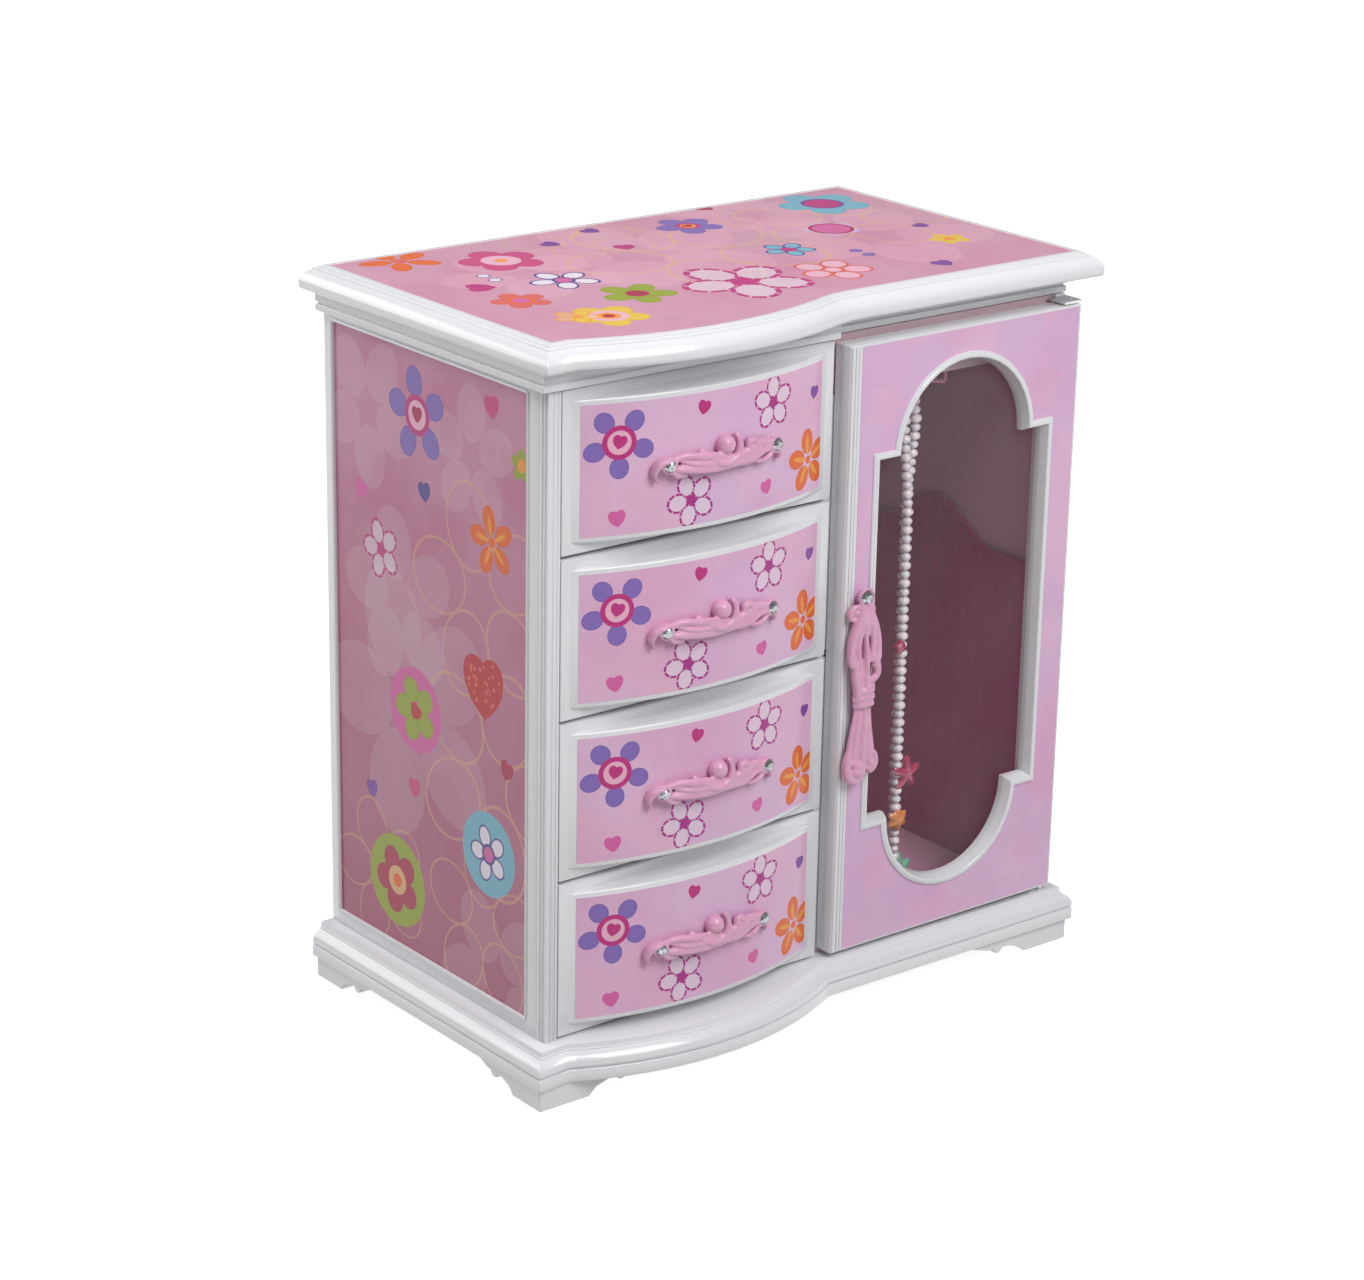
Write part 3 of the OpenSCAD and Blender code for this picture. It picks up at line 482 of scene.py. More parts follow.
def top_print():
    """Paper of the lid, seen from above."""
    p = Print("lid paper", "x", "y", (0.66, 0.33, 0.45), (0.64, 0.27, 0.40))
    for u, v, size, turn in ((-20, 25, 60, 0), (85, -5, 55, 30), (-80, 20, 40, 10), (70, 60, 40, 50)):
        p.ghost(u, v, size, "shell", 0.3, turn)
    for u, v, size, turn in ((0, 15, 60, 15), (95, 25, 50, 40), (-25, 60, 34, 0)):
        p.outline(u, v, size, "yellow", 0.35, turn)
    p.flower(-111, 70, 18, "orange", ((0.2, "coral"),), turn=8, width=0.24)
    p.flower(-75, 47.5, 18.5, "rose", ((0.46, "shell"), (0.16, "amber")), width=0.4)
    p.flower(-74, 5, 15.5, "indigo", ((0.32, "indigo"), (0.24, "pink")), turn=10, width=0.3, fill="white")
    p.flower(-97, 25, 7, "indigo", width=0.45, petals=2.0, fill="white")
    p.heart(-109, 13, 6.5, "magenta", 70)
    p.flower(-109, -13.5, 12.8, "coral", ((0.44, "orange"), (0.3, "pink")), width=0.36)
    p.flower(-95, -53, 16.5, "yellow", ((0.5, "shell"), (0.3, "amber"), (0.16, "red")), width=0.38, turn=15)
    p.stitched(-106, -47, 10, "amber", 20, "yellow")
    p.flower(-63, -30, 16.5, "lime", ((0.3, "crimson"),), width=0.34, turn=24)
    p.flower(31, 55.5, 15.5, "violet", ((0.36, "magenta"), (0.24, "amber")), width=0.36, turn=12)
    p.heart(31, 55.5, 2.6, "red")
    p.heart(-10, 71, 4.6, "plum", 20)
    p.heart(-17, 38, 4.8, "magenta", -20)
    p.heart(-39.5, 60, 4.6, "plum", 30)
    p.stitched(-14, -38, 28, "magenta", 14)
    p.flower(30, -43, 17.5, "coral", ((0.3, "coral"), (0.2, "shell")), width=0.36, turn=30, fill="shell",
             line=0.8)
    p.flower(110, 57.5, 21.5, "sky", ((0.46, "plum"), (0.38, "magenta")), width=0.38, turn=8)
    p.flower(80, 16.5, 13, "lilac", ((0.78, "crimson"), (0.66, "pink")), width=0.36)
    p.flower(38.5, -4, 12, "indigo", ((0.3, "magenta"),), width=0.33, turn=20, fill="sky")
    p.flower(61, -26, 7, "indigo", petals=2.0, width=0.42, fill="violet")
    p.flower(110, -27, 9.5, "yellow", ((0.3, "amber"),), width=0.34)
    p.heart(76.5, -60, 5, "plum")
    p.heart(117.5, -1, 4, "plum", 20)
    p.heart(59.5, 79, 4.6, "crimson", 20)
    return p.finish()


def door_print():
    """Paper of the door: faint flowers only."""
    p = Print("door paper", "x", "z", (0.80, 0.50, 0.71), (0.77, 0.42, 0.65))
    for u, v, size, turn in ((30, 270, 40, 10), (118, 265, 44, 30), (28, 175, 36, 0), (130, 150, 34, 20),
                             (35, 62, 44, 40), (118, 45, 40, 12)):
        p.ghost(u, v, size, "lilac", 0.4, turn)
    return p.finish()


# ----------------------------------------------------------------- materials


def lacquer():
    """White gloss lacquer over fibreboard, with a faint mottle and orange peel."""
    p = Paint("white lacquer", Coat_Weight=0.5, Coat_Roughness=0.06, Specular_IOR_Level=0.5)
    tone = tuple(colours().lacquer)
    cloud = p.grain(p.place, 28, 3)
    p.set(Base_Color=p.over(tone, cloud * 0.4, tuple(c * 0.96 for c in tone)),
          Roughness=p.between(p.grain(p.place, 60, 2), 0.2, 0.27))
    return p.bump(p.grain(p.place, 300, 2), 0.02 * MM, 0.06).material


def raw_board():
    """Thin board under a single matt coat of pale pink."""
    p = Paint("painted board", Specular_IOR_Level=0.3)
    fibre = p.grain(p.node("ShaderNodeMapping", None, p.place, (0, 0, 0), (0, 0, 0), (60, 900, 900)), 1, 4)
    p.set(Base_Color=p.over(srgb("e6cdd3"), fibre, srgb("d8b7c0")), Roughness=p.between(fibre, 0.6, 0.8))
    return p.bump(fibre, 0.08 * MM, 0.3).material


def satin(name, tone, gloss=0.42):
    """Satin: fine diagonal floats, a soft sheen, and creases with their shade painted into the colour."""
    weave = 2600.0
    p = Paint(name, Sheen_Weight=0.35, Sheen_Roughness=0.35, Specular_IOR_Level=0.4)
    x, y, z = p.parts(p.place)
    floats = ((x + y * 0.6 + z * 0.8) * weave).sin() * ((x * 0.5 - y + z) * weave * 0.6).sin()
    crease_and_shade = p.grain(p.place, 55, 4)
    # Painted shade: the crease noise darkens the colour; it also sets the roughness and the bump of the
    # creases.
    p.set(Base_Color=p.over(tone, crease_and_shade * 0.6, tuple(c * 0.72 for c in tone)),
          Roughness=p.between(crease_and_shade, gloss - 0.08, gloss + 0.1))
    return p.bump(floats * 0.25 + crease_and_shade, 0.25 * MM, 0.5).material


def flock(name, tone):
    """Flocked lining: short fibres, no gloss."""
    p = Paint(name, Sheen_Weight=0.5, Sheen_Roughness=0.6, Specular_IOR_Level=0.1, Roughness=0.95)
    fibre = p.grain(p.place, 2200, 3, 0.7)
    patch = p.grain(p.place, 22, 3)
    p.set(Base_Color=p.over(tuple(c * 1.2 for c in tone), fibre * 0.5 + patch * 0.4,
                            tuple(c * 0.7 for c in tone)))
    return p.bump(fibre, 0.1 * MM, 0.25).material


def metal(name, tone, smooth=0.22, turned=False):
    """Bright metal with fine drawn scratches and a little tarnish."""
    p = Paint(name, Metallic=1.0)
    stretch = (700, 40, 700) if turned else (40, 700, 700)
    scratch = p.grain(p.node("ShaderNodeMapping", None, p.place, (0, 0, 0), (0, 0, 0), stretch), 1, 4)
    stain = p.grain(p.place, 130, 4)
    p.set(Base_Color=p.over(tone, stain * 0.35, tuple(c * 0.6 for c in tone)),
          Roughness=p.between(scratch, smooth - 0.07, smooth + 0.14))
    return p.bump(scratch, 0.02 * MM, 0.3).material


def plastic(name, tone, rough=0.28, dark=0.75, coat=0.25):
    """Moulded plastic, glossier in patches, with a soft darker mottle at random."""
    p = Paint(name, Coat_Weight=coat, Coat_Roughness=0.12, Subsurface_Weight=0.08, Subsurface_Scale=2 * MM)
    cloud = p.grain(p.place, 90, 3)
    p.set(Base_Color=p.over(tone, cloud * 0.7, tuple(c * dark for c in tone)),
          Roughness=p.between(p.grain(p.place, 500, 2), rough - 0.06, rough + 0.1))
    return p.bump(p.grain(p.place, 350, 2), 0.05 * MM, 0.2).material


def mirror_glass():
    """Silvered glass with the faintest haze."""
    p = Paint("silvered mirror", Metallic=1.0)
    haze = p.grain(p.place, 14, 4)
    p.set(Base_Color=p.over((0.92, 0.93, 0.94), haze * 0.2, (0.78, 0.80, 0.82)),
          Roughness=p.between(haze, 0.01, 0.035))
    return p.material


def clear_pane():
    """Clear acrylic sheet with faint wiping haze."""
    p = Paint("clear acrylic", Base_Color=(0.85, 0.87, 0.9, 1), Specular_IOR_Level=0.8, Coat_Weight=0.3)
    haze = p.grain(p.place, 20, 4)
    p.set(Alpha=p.between(haze, 0.015, 0.05), Roughness=p.between(haze, 0.02, 0.07))
    return p.material


def rhinestone():
    """Foil-backed cut stone, with bright and dark facet glints painted into its colour."""
    p = Paint("rhinestone", Metallic=0.85, Coat_Weight=1.0, Coat_Roughness=0.02)
    painted_glint = p.node("ShaderNodeTexVoronoi", None, Vector=p.place, Scale=1300.0)
    # Painted glints: Voronoi cells paint bright and dark facets into the stone's colour.
    p.set(Base_Color=p.over((0.55, 0.57, 0.60), painted_glint, (0.06, 0.07, 0.08)),
          Roughness=p.between(painted_glint, 0.02, 0.12))
    return p.material


def pearl(name, tone, rough=0.18):
    """Pearl bead: nacre with a soft pink and green cast."""
    p = Paint(name, Coat_Weight=0.8, Coat_Roughness=0.05, Specular_IOR_Level=0.7)
    cast = p.grain(p.place, 260, 3)
    p.set(Base_Color=p.over(tone, cast, tuple(c * k for c, k in zip(tone, (0.9, 0.82, 0.88)))),
          Roughness=p.between(cast, rough - 0.05, rough + 0.08))
    return p.material


def tulle():
    """Stiff net: threads crossing with gaps between them."""
    p = Paint("pink net", Sheen_Weight=0.4, Specular_IOR_Level=0.2, Roughness=0.8)
    x, y, z = p.parts(p.place)
    mesh_a = abs(((x + z) * 4200.0).sin()) < 0.62
    mesh_b = abs(((x - z + y) * 4200.0).sin()) < 0.62
    threads = mesh_a.math("MAXIMUM", mesh_a, mesh_b)
    p.set(Base_Color=p.over(srgb("f2a9c6"), p.grain(p.place, 300, 2), srgb("e88bb2")),
          Alpha=p.between(threads, 0.35, 1.0))
    return p.material


def shelf(name, make, *args):
    """The material of that name, made once."""
    return bpy.data.materials.get(name) or make(*args)


def white():
    """White gloss lacquer."""
    return shelf("white lacquer", lacquer)


def board():
    """Painted board."""
    return shelf("painted board", raw_board)


def pink_satin():
    """Satin of the linings."""
    return shelf("pink satin", satin, "pink satin", tuple(colours().satin))


def brass():
    """Bright brass."""
    return shelf("brass", metal, "brass", (0.78, 0.55, 0.24))


def steel():
    """Bright turned steel."""
    return shelf("steel", metal, "steel", (0.62, 0.62, 0.64), 0.2, True)


def pull_plastic():
    """Plastic of the ribbon pulls."""
    return shelf("pull plastic", plastic, "pull plastic", tuple(colours().plastic))


# -------------------------------------------------------------- mesh helpers


# Points nearer than this are one point
WELD = 1e-6


def new_mesh(name, points, faces):
    """A mesh of points and faces."""
    bm = bmesh.new()
    made = [bm.verts.new(p) for p in points]
    for face in faces:
        bm.faces.new([made[i] for i in face])
    return from_bmesh(name, bm)


def from_bmesh(name, bm):
    """The mesh of a finished bmesh, with its doubles merged and its faces turned outwards."""
    bmesh.ops.remove_doubles(bm, verts=bm.verts, dist=WELD)
    bmesh.ops.recalc_face_normals(bm, faces=bm.faces)
    mesh = bpy.data.meshes.new(name)
    bm.to_mesh(mesh)
    bm.free()
    return mesh


def piece(name, mesh, body, material, slot=None, replaces=(), sharp=32, ride=True):
    """Puts a finished mesh in the scene on its body."""
    for polygon in mesh.polygons:
        polygon.use_smooth = True
    mesh.set_sharp_from_angle(angle=math.radians(sharp))
    mesh.materials.clear()
    mesh.materials.append(material)
    made = bpy.data.objects.new(name, mesh)
    bpy.context.scene.collection.objects.link(made)
    if ride:
        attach(made, body)
    if replaces:
        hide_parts(*replaces)
    return made


def rounded(obj, width, segments=2):
    """Rounds a piece's sharp edges."""
    bevel = obj.modifiers.new("edge", "BEVEL")
    bevel.width, bevel.segments = width, segments
    bevel.limit_method, bevel.angle_limit = "ANGLE", math.radians(35)
    bevel.harden_normals = True
    return obj


def slot_of(node):
    """The record's slot of a node."""
    return next(part["material_slot"] for part in frame["record"]["subparts"] if part["node"] == node)


def dressed(name, node, material, edge=0.4 * MM, segments=2):
    """A working part as it is, with its edges rounded and a finish."""
    bm = bmesh.new()
    bm.from_mesh(frame["nodes"][node].data)
    bmesh.ops.remove_doubles(bm, verts=bm.verts, dist=WELD)
    bmesh.ops.dissolve_limit(bm, angle_limit=math.radians(0.5), verts=bm.verts, edges=bm.edges)
    mesh = bpy.data.meshes.new(name)
    bm.to_mesh(mesh)
    bm.free()
    made = piece(name, mesh, frame["nodes"][node]["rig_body"], material, slot_of(node), [node])
    return rounded(made, edge, segments) if edge else made


def loft(name, rings, wrap=False):
    """A skin through closed rings of points, all of one length."""
    count = len(rings[0])
    points = [p for ring in rings for p in ring]
    faces = []
    last = len(rings) if wrap else len(rings) - 1
    for i in range(last):
        j = (i + 1) % len(rings)
        for k in range(count):
            n = (k + 1) % count
            faces.append((i * count + k, i * count + n, j * count + n, j * count + k))
    if not wrap:
        faces.append(tuple(range(count)))
        faces.append(tuple((len(rings) - 1) * count + k for k in range(count)))
    return new_mesh(name, points, faces)


def lathe(name, profile, place=Matrix.Identity(4), sides=32):
    """A turned shape. profile is (radius, height) from one end to the other, along Z."""
    rings = [[place @ Vector((max(r, 1e-6) * math.cos(2 * math.pi * k / sides),
                              max(r, 1e-6) * math.sin(2 * math.pi * k / sides), h))
              for k in range(sides)] for r, h in profile]
    return loft(name, rings)


def on_front(u, v, level):
    """A drawing in X and Z, at a depth."""
    return Vector((u, level, v))


def on_side(u, v, level):
    """A drawing in Y and Z, at a place across."""
    return Vector((level, u, v))


def on_top(u, v, level):
    """A drawing in X and Y, at a height."""
    return Vector((u, v, level))


def filleted(points, reaches, steps=5):
    """An outline with its corners rounded, each over a reach along its sides. 0 keeps a sharp corner."""
    made = []
    for i, (point, reach) in enumerate(zip(points, reaches)):
        p = Vector(point)
        if reach <= 0:
            made.append(tuple(p))
            continue
        start = p + (Vector(points[i - 1]) - p).normalized() * reach
        end = p + (Vector(points[(i + 1) % len(points)]) - p).normalized() * reach
        for k in range(steps + 1):
            t = k / steps
            made.append(tuple((1 - t) ** 2 * start + 2 * t * (1 - t) * p + t * t * end))
    return made


def rectangle(u0, v0, u1, v1, radius=0.0, steps=4):
    """A rectangle, with its corners rounded if a radius is given."""
    corners = [(u0, v0), (u1, v0), (u1, v1), (u0, v1)]
    return filleted(corners, [radius] * 4, steps)


BOW_STEPS = 44


def bow_radius(rise):
    """Radius of a bow that stands out by its rise."""
    return (BOW_HALF ** 2 + rise ** 2) / (2 * rise)


def bow_points(out, rise):
    """The bow from left to right, standing out before the front plane by out."""
    radius = bow_radius(rise)
    spread = math.acos((radius - rise) / radius)
    radius += out
    middle = FRONT_Y - rise - out + radius
    turns = [-spread + 2 * spread * i / BOW_STEPS for i in range(BOW_STEPS + 1)]
    return [(BOW_X + radius * math.sin(t), middle - radius * math.cos(t)) for t in turns]


def bow_depth(x):
    """How far back the drawers' bowed face lies at x."""
    radius = bow_radius(FRONT_RISE)
    offset = min(abs(x - BOW_X), BOW_HALF)
    return FRONT_Y - FRONT_RISE + radius - math.sqrt(radius * radius - offset * offset)


def board_outline(left, right, back, out, rise, corner, joint=0.0):
    """The outline of a board with the bowed front, as a function of how far its edge is cut back.

    joint is how far the hollow at the bow's right end is softened along each side.
    """
    bow = bow_points(out, rise)
    if joint:
        radius = bow_radius(rise)
        spread = 2 * math.acos((radius - rise) / radius) / BOW_STEPS
        bow = bow[:-2 - int(joint / (radius * spread))] + [bow[-1]]
    sharp = [(left, back), (left, FRONT_Y - out), *bow, (right, FRONT_Y - out), (right, back)]

    def outline(inset):
        small = max(corner - inset, 0.05 * MM)
        reaches = [small, small, *[0.0] * (len(bow) - 1), joint, small, small]
        return filleted(outward(sharp, -inset), reaches)
    return outline


def tube_rings(path, radii, sides=12, flat=1.0, up=Vector((0, 0, 1)), twist=0.0):
    """Rings round a path. flat squeezes them along the side direction, twist turns them in degrees."""
    rings = []
    count = len(path)
    for i, point in enumerate(path):
        ahead = path[min(i + 1, count - 1)] - path[max(i - 1, 0)]
        ahead.normalize()
        side = ahead.cross(up)
        if side.length < 1e-6:
            side = ahead.cross(Vector((1, 0, 0)))
        side.normalize()
        lift = side.cross(ahead)
        turn = math.radians(twist) * i / max(count - 1, 1)
        a = side * math.cos(turn) + lift * math.sin(turn)
        b = lift * math.cos(turn) - side * math.sin(turn)
        r = radii[i] if hasattr(radii, "__len__") else radii
        rings.append([point + r * (flat * math.cos(2 * math.pi * k / sides) * a
                                   + math.sin(2 * math.pi * k / sides) * b) for k in range(sides)])
    return rings


def smooth_path(points, steps=8):
    """A Catmull-Rom line through points."""
    line = []
    pts = [points[0], *points, points[-1]]
    for i in range(1, len(pts) - 2):
        p0, p1, p2, p3 = (Vector(pts[i + k]) for k in (-1, 0, 1, 2))
        for s in range(steps):
            t = s / steps
            line.append(0.5 * ((2 * p1) + (p2 - p0) * t + (2 * p0 - 5 * p1 + 4 * p2 - p3) * t * t
                               + (3 * p1 - p0 - 3 * p2 + p3) * t ** 3))
    line.append(Vector(pts[-2]))
    return line


def joined(name, meshes):
    """Several meshes as one."""
    bm = bmesh.new()
    for mesh in meshes:
        bm.from_mesh(mesh)
        bpy.data.meshes.remove(mesh)
    made = bpy.data.meshes.new(name)
    bm.to_mesh(made)
    bm.free()
    return made


def fused(name, meshes, voxel, rounds=3):
    """Several closed meshes melted into one moulded skin."""
    mesh = joined(name, meshes)
    obj = bpy.data.objects.new(name, mesh)
    bpy.context.scene.collection.objects.link(obj)
    remesh = obj.modifiers.new("melt", "REMESH")
    remesh.mode, remesh.voxel_size = "VOXEL", voxel
    soften = obj.modifiers.new("soften", "SMOOTH")
    soften.factor, soften.iterations = 0.5, rounds
    made = evaluated_mesh(name, obj)
    bpy.data.objects.remove(obj)
    return made


def evaluated_mesh(name, obj):
    """The object's mesh as its modifiers leave it."""
    bpy.context.view_layer.update()
    seen = obj.evaluated_get(bpy.context.evaluated_depsgraph_get())
    mesh = bpy.data.meshes.new_from_object(seen)
    mesh.name = name
    return mesh


def moved(mesh, offset):
    """A copy of a mesh, moved."""
    made = mesh.copy()
    made.transform(Matrix.Translation(offset))
    return made


def gem(name, centre, radius, facing=Vector((0, -1, 0))):
    """A cut stone: flat table, crown facets and a short pavilion."""
    place = Matrix.Translation(centre) @ facing.to_track_quat("Z", "Y").to_matrix().to_4x4()
    profile = [(0.35, -0.45), (1.0, 0.0), (0.98, 0.12), (0.72, 0.5), (0.5, 0.62)]
    return lathe(name, [(r * radius, h * radius) for r, h in profile], place, sides=10)


# -------------------------------------------------------------- node recipes


def geometry_tree(name, numbers, objects=()):
    """An empty geometry tree with a geometry input, numbers, objects and a material."""
    tree = bpy.data.node_groups.new(name, "GeometryNodeTree")
    tree.interface.new_socket("Geometry", in_out="INPUT", socket_type="NodeSocketGeometry")
    tree.interface.new_socket("Geometry", in_out="OUTPUT", socket_type="NodeSocketGeometry")
    for label, default in numbers:
        kind = "NodeSocketInt" if isinstance(default, int) else "NodeSocketFloat"
        tree.interface.new_socket(label, in_out="INPUT", socket_type=kind).default_value = default
    for label in objects:
        tree.interface.new_socket(label, in_out="INPUT", socket_type="NodeSocketObject")
    tree.interface.new_socket("Finish", in_out="INPUT", socket_type="NodeSocketMaterial")
    graph = Graph(tree)
    enter = tree.nodes.new("NodeGroupInput")
    leave = tree.nodes.new("NodeGroupOutput")
    inputs = {s.name: Sock(graph, s) for s in enter.outputs if s.name}
    return graph, inputs, leave


def end_tree(graph, leave, instances, finish):
    """Realises the instances and gives them their finish."""
    real = graph.node("GeometryNodeRealizeInstances", None, instances)
    done = graph.node("GeometryNodeSetMaterial", None, Geometry=real, Material=finish)
    graph.feed(leave.inputs[0], done)
    return graph.tree


def bead_tree():
    """Beads threaded along a line: every second place, counted from Phase."""
    graph, given, leave = geometry_tree("bead string", [("Bead", 4.4 * MM), ("Pitch", 4.7 * MM),
                                                        ("Phase", 0.0), ("Cut", 6), ("Flat", 0.75)])
    curve = graph.node("GeometryNodeMeshToCurve", None, given["Geometry"])
    points = graph.node("GeometryNodeCurveToPoints", {"mode": "LENGTH"}, curve, Length=given["Pitch"])
    rotation = Sock(graph, points.socket.node.outputs["Rotation"])
    place = graph.node("GeometryNodeInputIndex")
    side = place.math("FLOORED_MODULO", place, 2.0)
    chosen = abs(side - given["Phase"]) < 0.1
    ball = graph.node("GeometryNodeMeshUVSphere", None, given["Cut"] * 2.0, given["Cut"],
                      given["Bead"] * 0.5)
    made = graph.node("GeometryNodeInstanceOnPoints", None, points, chosen, ball, Rotation=rotation,
                      Scale=graph.vector(1.0, 1.0, given["Flat"]))
    return end_tree(graph, leave, made, given["Finish"])


def screw_tree():
    """A screw at each point of a mesh, turned at random about its length."""
    graph, given, leave = geometry_tree("screws", [("Seed", 3), ("Turn", 3.1)], ["Screw"])
    screw = graph.node("GeometryNodeObjectInfo", None, given["Screw"]).socket.node.outputs["Geometry"]
    turn = graph.node("FunctionNodeRandomValue", {"data_type": "FLOAT"}, None, None, 0.0, given["Turn"],
                      out=1, Seed=given["Seed"])
    spin = graph.vector(0.0, turn, 0.0)
    made = graph.node("GeometryNodeInstanceOnPoints", None, given["Geometry"], None, Sock(graph, screw),
                      Rotation=spin)
    return end_tree(graph, leave, made, given["Finish"])


def grown(name, source, tree, **values):
    """The mesh that a geometry tree makes from an object. The modifier doesn't stay."""
    modifier = source.modifiers.new(tree.name, "NODES")
    modifier.node_group = tree
    for item in tree.interface.items_tree:
        if item.in_out == "INPUT" and item.name in values:
            modifier[item.identifier] = values[item.name]
    mesh = evaluated_mesh(name, source)
    source.modifiers.remove(modifier)
    return mesh


def screw_mesh():
    """A small countersunk screw head with a cross slot, along Z."""
    head = lathe("screw head", [(1.7 * MM, -0.3 * MM), (1.75 * MM, 0.0), (1.5 * MM, 0.28 * MM),
                                (0.9 * MM, 0.42 * MM), (0.85 * MM, 0.12 * MM)], sides=20)
    arms = [loft("slot", [[Vector((x * a, y * b, z * MM)) for x, y in ((-1, -1), (1, -1), (1, 1), (-1, 1))]
                          for z in (0.1, 0.3)]) for a, b in ((1.1 * MM, 0.16 * MM), (0.16 * MM, 1.1 * MM))]
    return joined("screw", [head, *arms])


def screws(name, places, facing, body):
    """Screws at places on one body, made by the screw tree."""
    seeds = bpy.data.meshes.new(name + "_points")
    seeds.from_pydata([tuple(p) for p in places], [], [])
    source = bpy.data.objects.new(name + "_points", seeds)
    mould = bpy.data.objects.new(name + "_mould", screw_mesh())
    mould.data.transform(facing.to_track_quat("Z", "Y").to_matrix().to_4x4())
    for spare in (source, mould):
        bpy.context.scene.collection.objects.link(spare)
    tree = bpy.data.node_groups.get("screws") or screw_tree()
    mesh = grown(name, source, tree, Screw=mould, Seed=len(places), Finish=steel())
    for spare in (source, mould):
        bpy.data.objects.remove(spare)
    return piece(name, mesh, body, steel(), "steel", sharp=30)


def outward(points, distance):
    """An outline moved outwards by a distance, or inwards by a negative one. Corners are mitred."""
    count = len(points)
    area = sum(points[i][0] * points[(i + 1) % count][1] - points[(i + 1) % count][0] * points[i][1]
               for i in range(count))
    sign = 1 if area > 0 else -1
    moved_points = []
    for i in range(count):
        a = Vector(points[i]) - Vector(points[i - 1])
        b = Vector(points[(i + 1) % count]) - Vector(points[i])
        na = Vector((a.y, -a.x)).normalized() * sign
        nb = Vector((b.y, -b.x)).normalized() * sign
        mitre = (na + nb).normalized()
        reach = distance / max(mitre.dot(na), 0.45)
        moved_points.append(tuple(Vector(points[i]) + mitre * reach))
    return moved_points


def moulded(name, outline, profile, place, holes=(), keep=None):
    """A board whose edge follows a profile of (inset, level), with straight holes through it."""
    bm = bmesh.new()
    rings = []
    for inset, level in profile:
        ring = outline(inset) if callable(outline) else outward(outline, -inset)
        if keep:
            ring = [keep(point) for point in ring]
        rings.append([bm.verts.new(place(u, v, level)) for u, v in ring])
    for low, high in zip(rings, rings[1:]):
        for i in range(len(low)):
            j = (i + 1) % len(low)
            bm.faces.new((low[i], low[j], high[j], high[i]))
    walls = []
    for hole in holes:
        pair = [[bm.verts.new(place(u, v, level)) for u, v in hole]
                for level in (profile[0][1], profile[-1][1])]
        for i in range(len(hole)):
            j = (i + 1) % len(hole)
            bm.faces.new((pair[0][i], pair[0][j], pair[1][j], pair[1][i]))
        walls.append(pair)
    for ring, end in ((rings[0], 0), (rings[-1], 1)):
        edges = []
        for loop in [ring] + [pair[end] for pair in walls]:
            for i in range(len(loop)):
                pair_ends = (loop[i], loop[(i + 1) % len(loop)])
                edges.append(bm.edges.get(pair_ends) or bm.edges.new(pair_ends))
        bmesh.ops.triangle_fill(bm, use_beauty=True, use_dissolve=False, edges=edges)
    bmesh.ops.dissolve_limit(bm, angle_limit=math.radians(0.3), verts=bm.verts, edges=bm.edges)
    return from_bmesh(name, bm)


def above(low, steps):
    """A profile given in mm, from a level upwards."""
    return [(inset * MM, low + level * MM) for inset, level in steps]


def plate(name, outline, low, high, place, holes=(), edge=0.5 * MM):
    """A board between two levels with a rounded outer edge."""
    soft = edge * 0.3
    if edge:
        profile = [(edge, low), (soft, low + soft), (0, low + edge),
                   (0, high - edge), (soft, high - soft), (edge, high)]
    else:
        profile = [(0, low), (0, high)]
    return moulded(name, outline, profile, place, holes)


def ring_of(name, outline, section, place):
    """A moulding that runs round an outline. section is closed, as (outset, level)."""
    return loft(name, [[place(u, v, level) for u, v in outward(outline, out)] for out, level in section],
                wrap=True)


def skin(name, rows, thickness):
    """A thin solid skin over a grid of points, as thick as given on its back."""
    count = len(rows[0])
    points = [p for row in rows for p in row]
    faces = [(i * count + k, i * count + k + 1, (i + 1) * count + k + 1, (i + 1) * count + k)
             for i in range(len(rows) - 1) for k in range(count - 1)]
    bm = bmesh.new()
    made = [bm.verts.new(p) for p in points]
    for face in faces:
        bm.faces.new([made[i] for i in face])
    bm.normal_update()
    bmesh.ops.solidify(bm, geom=bm.faces[:], thickness=thickness)
    return from_bmesh(name, bm)


def grid_area(rows):
    """Area of a grid of points, in square metres."""
    total = 0.0
    for a, b in zip(rows, rows[1:]):
        for i in range(len(a) - 1):
            total += (a[i + 1] - a[i]).cross(b[i] - a[i]).length / 2
            total += (b[i + 1] - b[i]).cross(b[i + 1] - a[i + 1]).length / 2
    return total


# --------------------------------------------------------------------- stage

TARGET = Vector((-8.82, 4.3, 151.04)) * MM
VIEW_TURN, VIEW_RISE, VIEW_ROLL = math.radians(-38.78), math.radians(19.27), math.radians(1.12)
VIEW_DISTANCE = 1542.4 * MM
LENS, SENSOR = 93.56, 36
# Name, place, side and power of each softbox
LAMPS = (("key", (0.1, -1.0, 1.1), 0.7, 10.5), ("top", (-0.5, 0.05, 1.25), 0.8, 5.5),
         ("rear", (-1.0, 1.5, 0.9), 1.0, 9.0))
SKY = 0.33
FLOOR_GLOW = 0.7
FLOOR_HALF = 14


